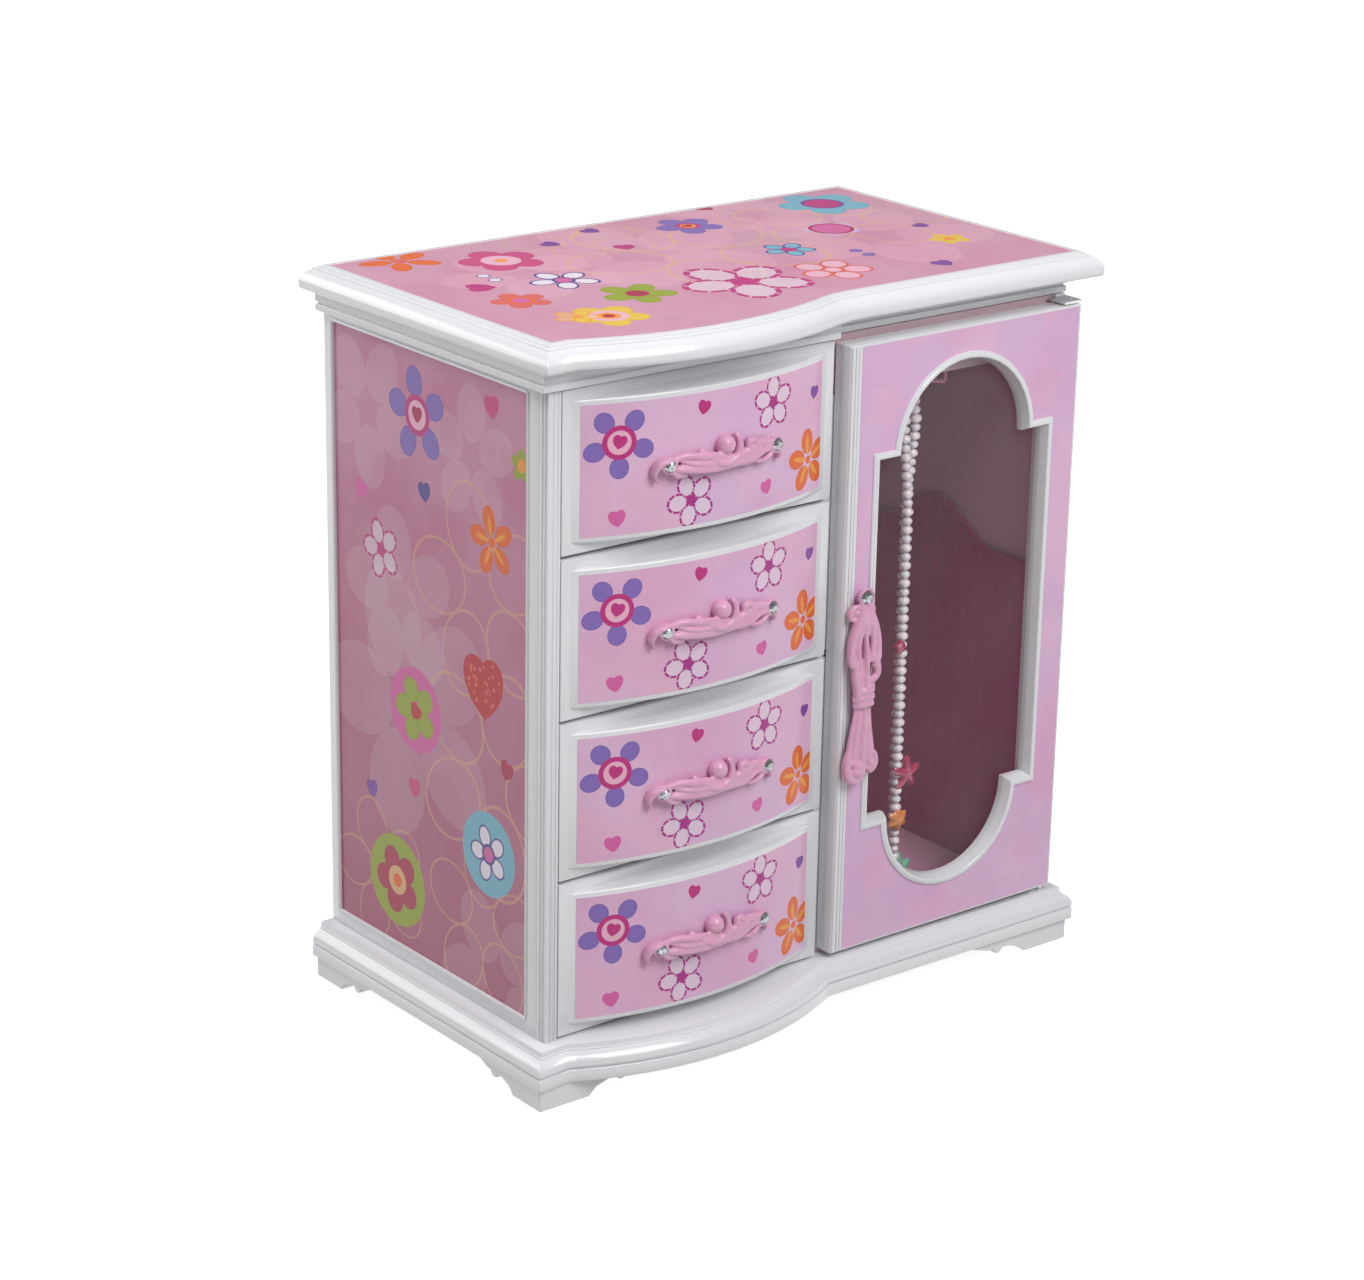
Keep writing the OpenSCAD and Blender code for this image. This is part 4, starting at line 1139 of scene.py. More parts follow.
def make_stage():
    """Camera, lamps, world and floor."""
    scene = bpy.context.scene
    back = Vector((math.sin(VIEW_TURN) * math.cos(VIEW_RISE), -math.cos(VIEW_TURN) * math.cos(VIEW_RISE),
                   math.sin(VIEW_RISE)))
    right = Vector((0, 0, 1)).cross(back).normalized()
    up = back.cross(right)
    across = math.cos(VIEW_ROLL) * right + math.sin(VIEW_ROLL) * up
    rise = -math.sin(VIEW_ROLL) * right + math.cos(VIEW_ROLL) * up
    lens = bpy.data.cameras.new("camera")
    lens.lens, lens.sensor_width, lens.sensor_fit = LENS, SENSOR, "HORIZONTAL"
    lens.clip_start, lens.clip_end = 0.05, 20
    camera = bpy.data.objects.new("camera", lens)
    turn = Matrix((across, rise, back)).transposed().to_4x4()
    camera.matrix_world = Matrix.Translation(TARGET + back * VIEW_DISTANCE) @ turn
    scene.collection.objects.link(camera)
    scene.camera = camera
    scene.view_settings.view_transform = "Standard"
    for name, place, size, power in LAMPS:
        lamp = bpy.data.lights.new(name, "AREA")
        lamp.energy, lamp.size, lamp.shape = power, size, "SQUARE"
        made = bpy.data.objects.new(name, lamp)
        aim = TARGET - Vector(place)
        made.matrix_world = Matrix.Translation(place) @ aim.to_track_quat("-Z", "Y").to_matrix().to_4x4()
        scene.collection.objects.link(made)
    world = bpy.data.worlds.new("studio")
    world.use_nodes = True
    world.node_tree.nodes["Background"].inputs["Color"].default_value = (1, 1, 1, 1)
    world.node_tree.nodes["Background"].inputs["Strength"].default_value = SKY
    scene.world = world
    ground = bpy.data.meshes.new("floor")
    corners = [(-1, -1), (1, -1), (1, 1), (-1, 1)]
    ground.from_pydata([(x * FLOOR_HALF, y * FLOOR_HALF, 0) for x, y in corners], [], [(0, 1, 2, 3)])
    paint = Paint("pale floor", Specular_IOR_Level=0.1, Base_Color=(0.93, 0.93, 0.93, 1),
                  Emission_Color=(1, 1, 1, 1), Emission_Strength=FLOOR_GLOW)
    paint.set(Roughness=paint.between(paint.grain(paint.place, 3), 0.75, 0.9))
    ground.materials.append(paint.material)
    floor = bpy.data.objects.new("floor", ground)
    floor.visible_diffuse = False
    scene.collection.objects.link(floor)


# ------------------------------------------------------------------ necklace

STRAND_X, STRAND_Y, STRAND_LOW = 67.0 * MM, -53.7 * MM, 45.7 * MM
THREAD = 0.9 * MM
# The loop turns aside below the arm: by how much, from which height, over what drop
LOOP_TURN, TURN_TOP, TURN_DROP = math.radians(51), 208, 30
# Half width and height of the loop, in mm, from the arm down
STRAND_SIDE = [(1.8, 214), (2.4, 211), (3.6, 204), (4.2, 190), (4.6, 170), (4.9, 150), (5.1, 130),
               (5.3, 110), (5.4, 90), (5.5, 70), (5.5, 50), (5.4, 34), (5.1, 20), (4.4, 9), (2.8, 2.4)]


def strand_points():
    """The thread's path, down one side and up the other."""
    offsets = STRAND_SIDE + [(0, 0)] + [(-x, h) for x, h in reversed(STRAND_SIDE)]
    points = []
    for x, height in offsets:
        turn = LOOP_TURN * min(1, max(0, (TURN_TOP - height) / TURN_DROP))
        points.append(Vector((STRAND_X + x * MM * math.cos(turn), STRAND_Y + x * MM * math.sin(turn),
                              STRAND_LOW + height * MM)))
    return points


def line_length(points):
    """Length of a line through points."""
    return sum((b - a).length for a, b in zip(points, points[1:]))


def star_mesh(name, centre, radius, points=5, depth=1.6 * MM, waist=0.52):
    """A puffed star or flower lying in the strand's plane."""
    rings = []
    for level, scale in ((-1, 0.1), (-0.8, 0.6), (0, 1.0), (0.8, 0.6), (1, 0.1)):
        ring = []
        for k in range(points * 6):
            turn = math.pi / 2 + 2 * math.pi * k / (points * 6)
            wave = 0.5 + 0.5 * math.cos(points * (turn - math.pi / 2))
            r = radius * scale * (waist + (1 - waist) * wave ** 0.8)
            ring.append(centre + Vector((r * math.cos(turn), level * depth, r * math.sin(turn))))
        rings.append(ring)
    return loft(name, rings)


def make_necklace():
    """Thread, beads and charms."""
    path = smooth_path(strand_points(), 4)
    curve = bpy.data.curves.new("bead_thread", "CURVE")
    curve.dimensions = "3D"
    curve.bevel_depth, curve.bevel_resolution = THREAD / 2, 2
    line = curve.splines.new("POLY")
    line.points.add(len(path) - 1)
    for spot, place in zip(line.points, path):
        spot.co = (*place, 1)
    thread = Paint("thread", Sheen_Weight=0.3)
    twist = thread.node("ShaderNodeTexWave", None, Vector=thread.place, Scale=900.0)
    thread.set(Base_Color=thread.over(srgb("f1eadf"), twist, srgb("cfc6b8")), Roughness=0.7)
    curve.materials.append(thread.material)
    cord = bpy.data.objects.new("bead_thread", curve)
    bpy.context.scene.collection.objects.link(cord)
    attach(cord, "carousel")
    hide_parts("necklace_thread")
    source = bpy.data.objects.new("thread_line", bpy.data.meshes.new("thread_line"))
    source.data.from_pydata([tuple(p) for p in path], [(i, i + 1) for i in range(len(path) - 1)], [])
    bpy.context.scene.collection.objects.link(source)
    tree = bead_tree()
    nacre = shelf("pearl", pearl, "pearl", srgb("faf2f2"))
    clear = shelf("clear bead", plastic, "clear bead", srgb("ece6ee"), 0.1, 0.9, 0.9)
    for name, phase, size, finish in (("pearls", 0.0, sizes().pearl, nacre),
                                      ("clear_beads", 1.0, sizes().clear_bead, clear)):
        mesh = grown(name, source, tree, Bead=size, Phase=phase, Cut=6, Pitch=sizes().bead_pitch,
                     Flat=0.74, Finish=finish)
        piece(name, mesh, "carousel", finish, "thread", sharp=60)
    bpy.data.objects.remove(source)
    front = STRAND_Y - 6.2 * MM
    pink = shelf("pink charm", plastic, "pink charm", srgb("c01458"), 0.14, 0.6, 0.6)
    orange = shelf("orange charm", plastic, "orange charm", srgb("ee8a35"), 0.14, 0.7, 0.6)
    green = shelf("green charm", plastic, "green charm", srgb("7fcaa8"), 0.14, 0.7, 0.6)
    for name, (x, z), radius, count, finish, waist in (
            ("star_charm", (0.5, 92), 8.6, 5, pink, 0.42), ("orange_charm", (-3.6, 71), 5.8, 6, orange,
                                                            0.7),
            ("pink_bead_charm", (-6.5, 152), 3.4, 5, pink, 0.8)):
        mesh = star_mesh(name, Vector((STRAND_X + x * MM, front, z * MM)), radius * MM, count, 2.4 * MM,
                         waist)
        piece(name, mesh, "carousel", finish, "green_bead", sharp=60)
    flower_at = Vector((STRAND_X, STRAND_Y - 3.5 * MM, 45.5 * MM))
    mesh = joined("green_flower", [
        star_mesh("petals", flower_at, 8.2 * MM, 5, 2.4 * MM, 0.5),
        lathe("heart", [(0.0, -2.6 * MM), (1.6 * MM, -2.2 * MM), (2.2 * MM, 0.0), (1.6 * MM, 2.2 * MM),
                        (0.0, 2.6 * MM)],
              Matrix.Translation(flower_at) @ Matrix.Rotation(math.pi / 2, 4, "X"), 16)])
    piece("green_flower", mesh, "carousel", green, "green_bead", ["necklace_charms"], 60)
    tuple(path[0])
    round(line_length(path), 4)


# ----------------------------------------------------------------------- case


def make_base():
    """Moulded base and bracket feet."""
    dressed("bracket_feet", "plinth_feet", white(), 0.9 * MM, 3)
    outline = board_outline(BASE_LOW.x, BASE_HIGH.x, BACK_HIGH.y, BASE_OUT, BASE_RISE, 0.9 * MM)
    fascia = [(0.7, 0.0), (0.15, 0.3), (0.0, 0.9), (0.0, 5.1)]
    groove = [(0.2, 5.4), (0.8, 5.6), (0.8, 5.9), (0.35, 6.15)]
    roll = [(0.1, 6.8), (0.1, 7.5), (0.35, 8.5), (0.9, 9.6), (1.7, 10.6), (2.7, 11.5), (3.6, 12.1)]
    bead = [(3.8, 12.3), (3.9, 12.9), (4.5, 13.1), (4.65, 13.5), (4.5, 14.4), (4.8, 15.1), (5.6, 15.4)]
    rear = BACK_HIGH.y

    def keep(point):
        """The back edge stays straight."""
        return (point[0], rear) if point[1] > rear - 6 * MM else point
    hollow = rectangle(SIDE_LOW.x + 6 * MM, FRONT_Y + 5 * MM, RIGHT_LOW.x, BACK_LOW.y)
    mesh = moulded("base_mould", outline, above(BASE_LOW.z, fascia + groove + roll + bead), on_top,
                   [hollow], keep)
    piece("base_mould", mesh, "case", white(), "white_lacquer", ["base_moulding"], 40)
    dressed("floor_board", "bottom_board", board(), 0.3 * MM)


# Opening of the left side's frame, in Y and Z. The right side's paper has the same outline.
SIDE_WINDOW = rectangle(-61 * MM, 31.5 * MM, 77 * MM, 297.5 * MM, 0.6 * MM, 2)


def make_sides():
    """Side panels, corner post, partition, back and shelves."""
    low, high = SIDE_LOW, SIDE_HIGH
    face = [low.x, low.x + 1.4 * MM]
    outer = rectangle(low.y, low.z, high.y, high.z)
    edge = 0.5 * MM
    frame_mesh = moulded("side_frame", outer, [(edge, face[0]), (0.15 * MM, face[0] + 0.15 * MM),
                                               (0, face[0] + edge), (0, face[1])], on_side, [SIDE_WINDOW])
    core = plate("side_core", outer, face[1] - 0.3 * MM, high.x, on_side, edge=0.4 * MM)
    bead = ring_of("side_bead", SIDE_WINDOW, [(1.1 * MM, face[0] + 0.2 * MM),
                                              (0.9 * MM, face[0] - 0.5 * MM),
                                         (0.4 * MM, face[0] - 0.7 * MM), (-0.2 * MM, face[0] - 0.45 * MM),
                                         (-0.5 * MM, face[0] + 0.2 * MM), (-0.5 * MM, face[1])], on_side)
    piece("side_board", joined("side_board", [frame_mesh, core, bead]), "case", white(), "white_lacquer",
          ["side_panel_left"])
    paper = plate("side_paper", outward(SIDE_WINDOW, 0.2 * MM), face[0] + 0.75 * MM, face[1] + 0.05 * MM,
                  on_side,
                  edge=0)
    piece("side_paper", paper, "case", side_print(), "printed_panel")
    right = plate("right_board", rectangle(RIGHT_LOW.y, RIGHT_LOW.z, RIGHT_HIGH.y, RIGHT_HIGH.z),
                  RIGHT_LOW.x, RIGHT_HIGH.x - 0.2 * MM, on_side, edge=0.5 * MM)
    piece("right_board", right, "case", white(), "white_lacquer", ["side_panel_right"])
    right_paper = plate("right_paper", SIDE_WINDOW, RIGHT_HIGH.x - 0.3 * MM, RIGHT_HIGH.x, on_side, edge=0)
    piece("right_paper", right_paper, "case", mirrored_print(), "printed_panel")
    make_post()
    dressed("middle_wall", "partition", white(), 0.4 * MM)
    dressed("back_board", "back_panel", white(), 0.4 * MM)
    dressed("shelves", "drawer_shelves", board(), 0.3 * MM)
    dressed("door_pivot_bracket", "door_bracket", steel(), 0.15 * MM)
    magnet = shelf("ferrite", plastic, "ferrite", srgb("2a2a2d"), 0.45, 0.7, 0.0)
    dressed("catch_magnet_disc", "catch_magnet", magnet, 0.1 * MM)


def mirrored_print():
    """Paper of the right side: faint flowers and a few motifs, on the same darker pinks as the left side,
    painted shade.
    """
    # Painted shade: the ground and mottle pinks are the darker, shaded copy of the front's paper.
    p = Print("right side paper", "y", "z", (0.60, 0.27, 0.40), (0.57, 0.20, 0.34))
    for u, v, size, turn in ((-20, 190, 40, 10), (40, 265, 34, 40), (-30, 90, 50, 0), (40, 60, 36, 20)):
        p.ghost(u, v, size, "white", 0.12, turn)
    p.flower(20, 262, 17, "violet", ((0.52, "magenta"), (0.36, "white")), turn=10)
    p.flower(-34, 228, 13, "orange", ((0.16, "amber"),), width=0.22)
    p.disc(14, 140, 18, "pink")
    p.flower(14, 140, 14, "lime", turn=20, width=0.36)
    p.disc(-30, 84, 17, "sky")
    p.flower(-30, 84, 12.5, "indigo", ((0.3, "pink"),), fill="white", turn=8)
    p.heart(40, 200, 6, "red")
    p.heart(-44, 160, 5, "magenta", 12)
    p.heart(46, 96, 5, "plum", -14)
    p.stitched(30, 56, 13, "magenta", 14)
    return p.finish()


def make_post():
    """Front corner post with two flutes."""
    low, high = POST_LOW, POST_HIGH
    w, d = high.x - low.x, high.y - low.y
    groove = 0.55 * MM
    xs = [0.0, 0.28, 0.34, 0.42, 0.48, 0.62, 0.68, 0.76, 0.82, 1.0]
    cuts = [0, 0, 1, 1, 0, 0, 1, 1, 0, 0]
    outline = [(low.x + w * t, low.y + groove * c) for t, c in zip(xs, cuts)]
    outline += [(high.x, high.y), (low.x, high.y)]
    outline += [(low.x + groove * c, high.y - d * t) for t, c in list(zip(xs, cuts))[1:-1]]
    mesh = plate("corner_stile", outline, low.z, high.z, on_top, edge=0.25 * MM)
    post = piece("corner_stile", mesh, "case", white(), "white_lacquer", ["corner_post"])
    rounded(post, 0.18 * MM)


# ------------------------------------------------------------------------ lid


# Right of RIM_STEP the rim under the lid is set back, to clear the door
RIM_STEP, RIM_RIGHT_Y = 6 * MM, -69.7 * MM
RIM_HOLE = rectangle(-133.9 * MM, -66.3 * MM, 133.9 * MM, 74.9 * MM)


def make_lid():
    """Lid board with its moulded lip, printed top, rim, mirror and hinges."""
    low = LID_LOW.z
    outline = board_outline(LID_LOW.x, LID_HIGH.x, LID_HIGH.y, LID_OUT, FRONT_RISE, 1.6 * MM, 9 * MM)
    lip = [(3.0, 0.0), (1.5, 0.0), (0.7, 0.35), (0.2, 1.1), (0.0, 2.1), (0.05, 3.1), (0.3, 4.2),
           (0.8, 5.3), (1.5, 6.3), (2.4, 7.25), (3.4, 8.05), (4.3, 8.6)]
    border = [(4.6, 8.75), (4.7, 9.15), (5.3, 9.35), (6.0, 9.6), (6.2, 9.7), (6.3, 10.1), (7.0, 10.35),
              (7.8, 10.55), (9.6, 10.6), (9.8, 10.3)]
    mesh = moulded("lid_top", outline, above(low, lip + border), on_top)
    piece("lid_top", mesh, "lid", white(), "white_lacquer", ["lid_board"], 40)
    paper = plate("lid_paper", outline(9.65 * MM), low + 10.1 * MM, low + 10.42 * MM, on_top, edge=0)
    piece("lid_paper", paper, "lid", top_print(), "printed_panel")
    rim_low, rim_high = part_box("lid_rim")
    outer = [(rim_low.x, rim_high.y), (rim_low.x, rim_low.y), (RIM_STEP, rim_low.y),
             (RIM_STEP, RIM_RIGHT_Y), (rim_high.x, RIM_RIGHT_Y), (rim_high.x, rim_high.y)]
    bands = [(0.5, 0.0), (0.1, 0.2), (0.0, 0.6), (0.0, 2.6), (0.2, 2.9), (0.9, 3.1), (0.9, 3.7),
             (0.2, 3.9), (0.0, 4.2), (0.0, 8.6)]
    mesh = moulded("lid_skirt", outer, above(rim_low.z, bands), on_top, [RIM_HOLE])
    piece("lid_skirt", mesh, "lid", white(), "white_lacquer", ["lid_rim"])
    glass_low, glass_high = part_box("lid_mirror")
    glass = moulded("mirror", rectangle(glass_low.x, glass_low.y, glass_high.x, glass_high.y, 0.8 * MM),
                    [(5 * MM, glass_low.z), (0.3 * MM, glass_low.z + 0.7 * MM),
                     (0.0, glass_low.z + 0.9 * MM), (0.0, glass_high.z)], on_top)
    piece("mirror", glass, "lid", shelf("silvered mirror", mirror_glass), "mirror_glass", ["lid_mirror"], 8)
    for name, node in (("hinge_leaf_low", "lid_hinge_lower"), ("hinge_pins", "lid_hinge_pins"),
                       ("hinge_leaf_high", "lid_hinge_upper")):
        dressed(name, node, brass(), 0.15 * MM)


# -------------------------------------------------------------------- drawers


def arc_place(level_z):
    """Places (along the bow, up, out of the face) on a drawer's bowed face."""
    radius = bow_radius(FRONT_RISE)
    middle = FRONT_Y - FRONT_RISE + radius

    def place(u, v, out):
        turn = u * MM / radius
        reach = radius + out * MM
        return Vector((BOW_X + reach * math.sin(turn), middle - reach * math.cos(turn), level_z + v * MM))
    return place


def ribbon(place, points, radii, flat=1.0, twist=0.0, sides=10, steps=6):
    """A tapered strand through (along, up, out) points."""
    line = smooth_path([place(*p) for p in points], steps)
    if hasattr(radii, "__len__"):
        span = len(radii) - 1
        width = []
        for i in range(len(line)):
            t = i / (len(line) - 1) * span
            k = min(int(t), span - 1)
            width.append((radii[k] + (radii[k + 1] - radii[k]) * (t - k)) * MM)
    else:
        width = radii * MM
    return loft("ribbon", tube_rings(line, width, sides, flat, Vector((0.02, -1, 0.01)), twist))


def curl(u, v, size, turns, start, out=(2.6, 4.6)):
    """Points of a spiral that climbs towards its middle."""
    points = []
    count = int(turns * 9)
    for i in range(count + 1):
        t = i / count
        angle = math.radians(start) + turns * 2 * math.pi * t
        reach = size * (1 - 0.82 * t)
        points.append((u + reach * math.cos(angle), v + reach * math.sin(angle),
                       out[0] + (out[1] - out[0]) * t))
    return points


def drawer_pull_mesh(level_z):
    """Moulded ribbon with curls, for one drawer."""
    place = arc_place(level_z)
    parts = [
        ribbon(place, [(-27, 1, 2.2), (-20, 2.6, 2.6), (-12, 1.4, 3.2), (-5, 0.6, 3.0), (3, -1.6, 3.0),
                       (11, 0.2, 3.2), (19, 2.4, 2.8), (27, 1, 2.2)],
               [1.6, 2.2, 2.3, 2.1, 2.2, 2.2, 1.9, 1.4],
               0.8, 160),
        ribbon(place, [(-27, -1, 2.2), (-21, -2.2, 2.8), (-13, -3.0, 3.0), (-4, -3.6, 3.0), (5, -3.2, 3.2),
                       (13, -3.4, 3.0), (20, -1.2, 2.8), (27, -1, 2.2)],
               [1.6, 2.3, 2.5, 2.3, 2.1, 2.3, 2.0, 1.4], 0.8, -160),
        ribbon(place, [(-22, 1.2, 3.2), (-15, -0.8, 4.0), (-7, -1.6, 4.0), (0, -1.4, 3.8)],
               [0.8, 1.3, 1.3, 0.6], 0.8),
        ribbon(place, [(4.8, 8.4, 1.8), (6.2, 6.6, 2.6), (6.6, 3.0, 3.2), (4.0, -1.2, 3.6),
                       (-2.0, -2.6, 3.8),
                       (-8.4, 0.8, 3.2), (-12.4, 4.4, 2.2)], [0.9, 1.5, 1.7, 1.8, 1.9, 1.6, 0.8], 0.9),
        ribbon(place, curl(12.6, 1.8, 5.0, 1.1, 200, (2.2, 3.4)), [1.5, 2.1, 1.8, 1.0], 0.9, 0, 10, 2),
        ribbon(place, curl(20.4, 1.6, 3.0, 1.0, 190, (2.2, 3.0)), [1.1, 1.5, 1.4, 1.0], 0.9, 0, 10, 2),
        lathe("ball", [(0.0, -4.3 * MM), (2.4 * MM, -3.6 * MM), (3.9 * MM, -1.9 * MM), (4.3 * MM, 0.0),
                       (3.9 * MM, 1.9 * MM), (2.4 * MM, 3.6 * MM), (0.0, 4.3 * MM)],
              Matrix.Translation(place(0.2, 4.4, 1.8)), 24),
        ribbon(place, [(-24, 0, 2.4), (-28, 1.8, 2.7), (-31.6, 0.2, 2.4), (-33.0, -3.4, 2.0),
                       (-31.4, -7.0, 1.7)], [2.2, 2.9, 2.8, 2.0, 0.6], 0.55),
        ribbon(place, [(-26, -2.4, 2.2), (-23, -4.8, 2.4), (-18, -5.4, 2.3)], [1.9, 1.9, 0.7], 0.7),
        ribbon(place, [(24, 1, 2.4), (27.6, -2.0, 2.2), (29.6, -4.6, 2.0), (29.0, -6.8, 1.8)],
               [1.8, 2.2, 1.9, 0.9], 0.7),
        ribbon(place, [(26, -1.4, 2.2), (23, -4.4, 2.4), (18.0, -5.6, 2.3), (14.6, -4.6, 2.0)],
               [1.7, 1.7, 1.4, 0.6], 0.7),
    ]
    for u in (-26.8, 26.8):
        middle = place(u, 0, 0)
        facing = place(u, 0, 1) - middle
        stud = Matrix.Translation(middle) @ facing.to_track_quat("Z", "Y").to_matrix().to_4x4()
        parts.append(lathe("stud", [(2.6 * MM, -0.1 * MM), (2.6 * MM, 2.0 * MM), (3.6 * MM, 3.0 * MM),
                                    (3.7 * MM, 3.9 * MM), (3.0 * MM, 4.4 * MM), (2.6 * MM, 3.8 * MM),
                                    (0.0, 3.7 * MM)], stud, 20))
    return fused("drawer_pull", parts, 0.42 * MM, 2)


def stones_mesh(level_z):
    """The two rhinestones of a drawer pull."""
    place = arc_place(level_z)
    gems = []
    for u in (-26.8, 26.8):
        centre = place(u, 0, 3.9)
        gems.append(gem("stone", centre, 2.75 * MM, (place(u, 0, 6) - centre).normalized()))
    return joined("stones", gems)


def make_drawers():
    """Four drawers: bowed fronts, boxes, linings, pulls and rhinestones."""
    first = None
    for index in DRAWERS:
        body = f"drawer_{index}"
        low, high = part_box(f"{body}_front")
        middle = (low.z + high.z) / 2
        slab = plate("slab", rectangle(low.x, low.z, high.x, high.z, 0.6 * MM, 2), FRONT_Y, high.y,
                     on_front,
                     edge=0.6 * MM)
        block_low, block_high = low.z + SLAB_MARGIN, high.z - SLAB_MARGIN
        bow = bow_points(0, FRONT_RISE) + [(BOW_X + BOW_HALF, FRONT_Y + 1 * MM),
                                               (BOW_X - BOW_HALF, FRONT_Y + 1 * MM)]
        edge = 0.9 * MM
        profile = [(edge - x, block_low + edge * (1 - math.cos(math.asin(min(1, x / edge)))))
                   for x in (0.0, edge * 0.4, edge * 0.75, edge)]
        profile += [(inset, block_high - (level - block_low)) for inset, level in reversed(profile)]
        block = moulded("block", bow, profile, on_top)
        piece(f"{body}_face", joined("face", [slab, block]), body, white(), "white_lacquer",
              [f"{body}_front"], 40)
        rows = []
        border = 2.3 * MM
        for i in range(49):
            x = BOW_X + (BOW_HALF - 3.2 * MM) * (i / 24 - 1)
            y = bow_depth(x) - 0.12 * MM
            rows.append([Vector((x, y, z)) for z in (block_low + border, middle, block_high - border)])
        piece(f"{body}_paper", skin("paper", rows, -0.5 * MM), body, drawer_print(index), "printed_panel")
        dressed(f"{body}_tray", f"{body}_box", board(), 0.3 * MM)
        make_floor_cloth(body)
        if first is None:
            first = (middle, drawer_pull_mesh(middle), stones_mesh(middle))
        offset = Vector((0, 0, middle - first[0]))
        piece(f"{body}_ribbon", moved(first[1], offset), body, pull_plastic(), "pink_plastic",
              [f"{body}_pull"], 80)
        piece(f"{body}_stones", moved(first[2], offset), body, shelf("rhinestone", rhinestone),
              "pink_plastic", sharp=5)


def make_floor_cloth(body):
    """Satin laid on a drawer's floor, with slight creases."""
    low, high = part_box(f"{body}_lining")
    rows = []
    for i in range(41):
        x = low.x + (high.x - low.x) * i / 40
        row = []
        for k in range(37):
            y = low.y + (high.y - low.y) * k / 36
            edge = min(i, 40 - i, k, 36 - k) / 3
            wave = noise.noise(Vector((x * 60, y * 60, high.z * 40))) * 0.35 * MM
            row.append(Vector((x, y, high.z - 0.35 * MM + wave * min(1, edge))))
        rows.append(row)
    cloth = piece(f"{body}_cloth", skin("cloth", rows, -0.8 * MM), body, pink_satin(), "satin_pink",
                  [f"{body}_lining"], 60)


# ----------------------------------------------------------------------- door

WINDOW_X, WINDOW_HALF, WINDOW_LOW, WINDOW_HIGH, ARCH = 74.5, 48.0, 84.9, 246.8, 36.5


def window_outline():
    """The door's opening: straight sides, a shoulder and an arch at the top and at the bottom."""
    points = []
    steps = 20
    for sign, level in ((1, WINDOW_HIGH), (-1, WINDOW_LOW)):
        for i in range(steps + 1):
            turn = math.pi * i / steps
            points.append((WINDOW_X + sign * ARCH * math.cos(turn), level + sign * ARCH * math.sin(turn)))
            if i == 0:
                points.insert(-1, (WINDOW_X + sign * WINDOW_HALF, level))
        points.append((WINDOW_X - sign * WINDOW_HALF, level))
    return [(x * MM, z * MM) for x, z in points]


def make_door():
    """Door board, printed panel, window bead, pane, retainer, pins and catch plate."""
    low, high = DOOR_LOW, DOOR_HIGH
    window = window_outline()
    outer = rectangle(low.x, low.z, high.x, high.z, 0.8 * MM, 3)
    edge = 0.6 * MM
    shelf_y = -74.4 * MM
    front = moulded("front", outer, [(edge, low.y), (edge * 0.3, low.y + edge * 0.3), (0, low.y + edge),
                                     (0, shelf_y)], on_front, [window])
    pocket = rectangle(21.5 * MM, 43.4 * MM, 127.5 * MM, 288.3 * MM)
    rear = moulded("rear", outer, [(0, shelf_y - 0.1 * MM), (0, high.y - edge), (edge, high.y)], on_front,
                   [pocket])
    strips = []
    for left, right, height in ((9.5, 11.4, 0.9), (11.9, 13.3, 0.6), (13.8, 15.2, 0.35)):
        outline = rectangle(left * MM, low.z + 0.6 * MM, right * MM, high.z - 0.6 * MM)
        strips.append(moulded("strip", outline, [(0, low.y + 0.2 * MM), (0, low.y - height * MM * 0.6),
                                                 (0.35 * MM, low.y - height * MM)], on_front))
    piece("door_board", joined("door_board", [front, rear, *strips]), "door", white(), "white_lacquer",
          ["door_frame"])
    panel = rectangle(15.6 * MM, low.z + 1.1 * MM, high.x - 1.3 * MM, high.z - 1.1 * MM)
    paper = plate("door_paper", panel, low.y - 0.15 * MM, low.y + 0.2 * MM, on_front,
                  [outward(window, 2.8 * MM)], 0)
    piece("door_paper", paper, "door", door_print(), "printed_panel")
    bead_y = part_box("door_bead")[0].y
    section = [(3.1, low.y + 0.2 * MM), (3.1, bead_y + 1.0 * MM), (2.8, bead_y + 0.55 * MM),
               (2.2, bead_y + 0.4 * MM), (1.9, bead_y + 0.1 * MM), (1.4, bead_y), (0.8, bead_y),
               (0.4, bead_y + 0.3 * MM), (-0.9, bead_y + 3.6 * MM), (-1.1, bead_y + 4.2 * MM),
               (-1.1, -74.6 * MM), (0.3, -74.6 * MM)]
    bead = ring_of("window_bead", window, [(out * MM, level) for out, level in section], on_front)
    piece("window_bead", bead, "door", white(), "white_lacquer", ["door_bead"], 28)
    dressed("window_pane", "door_pane", shelf("clear acrylic", clear_pane), 0.2 * MM)
    dressed("pane_retainer", "door_retainer", white(), 0.3 * MM)
    dressed("door_pivots", "door_pins", steel(), 0.15 * MM)
    dressed("catch_plate", "door_catch_plate", steel(), 0.1 * MM)


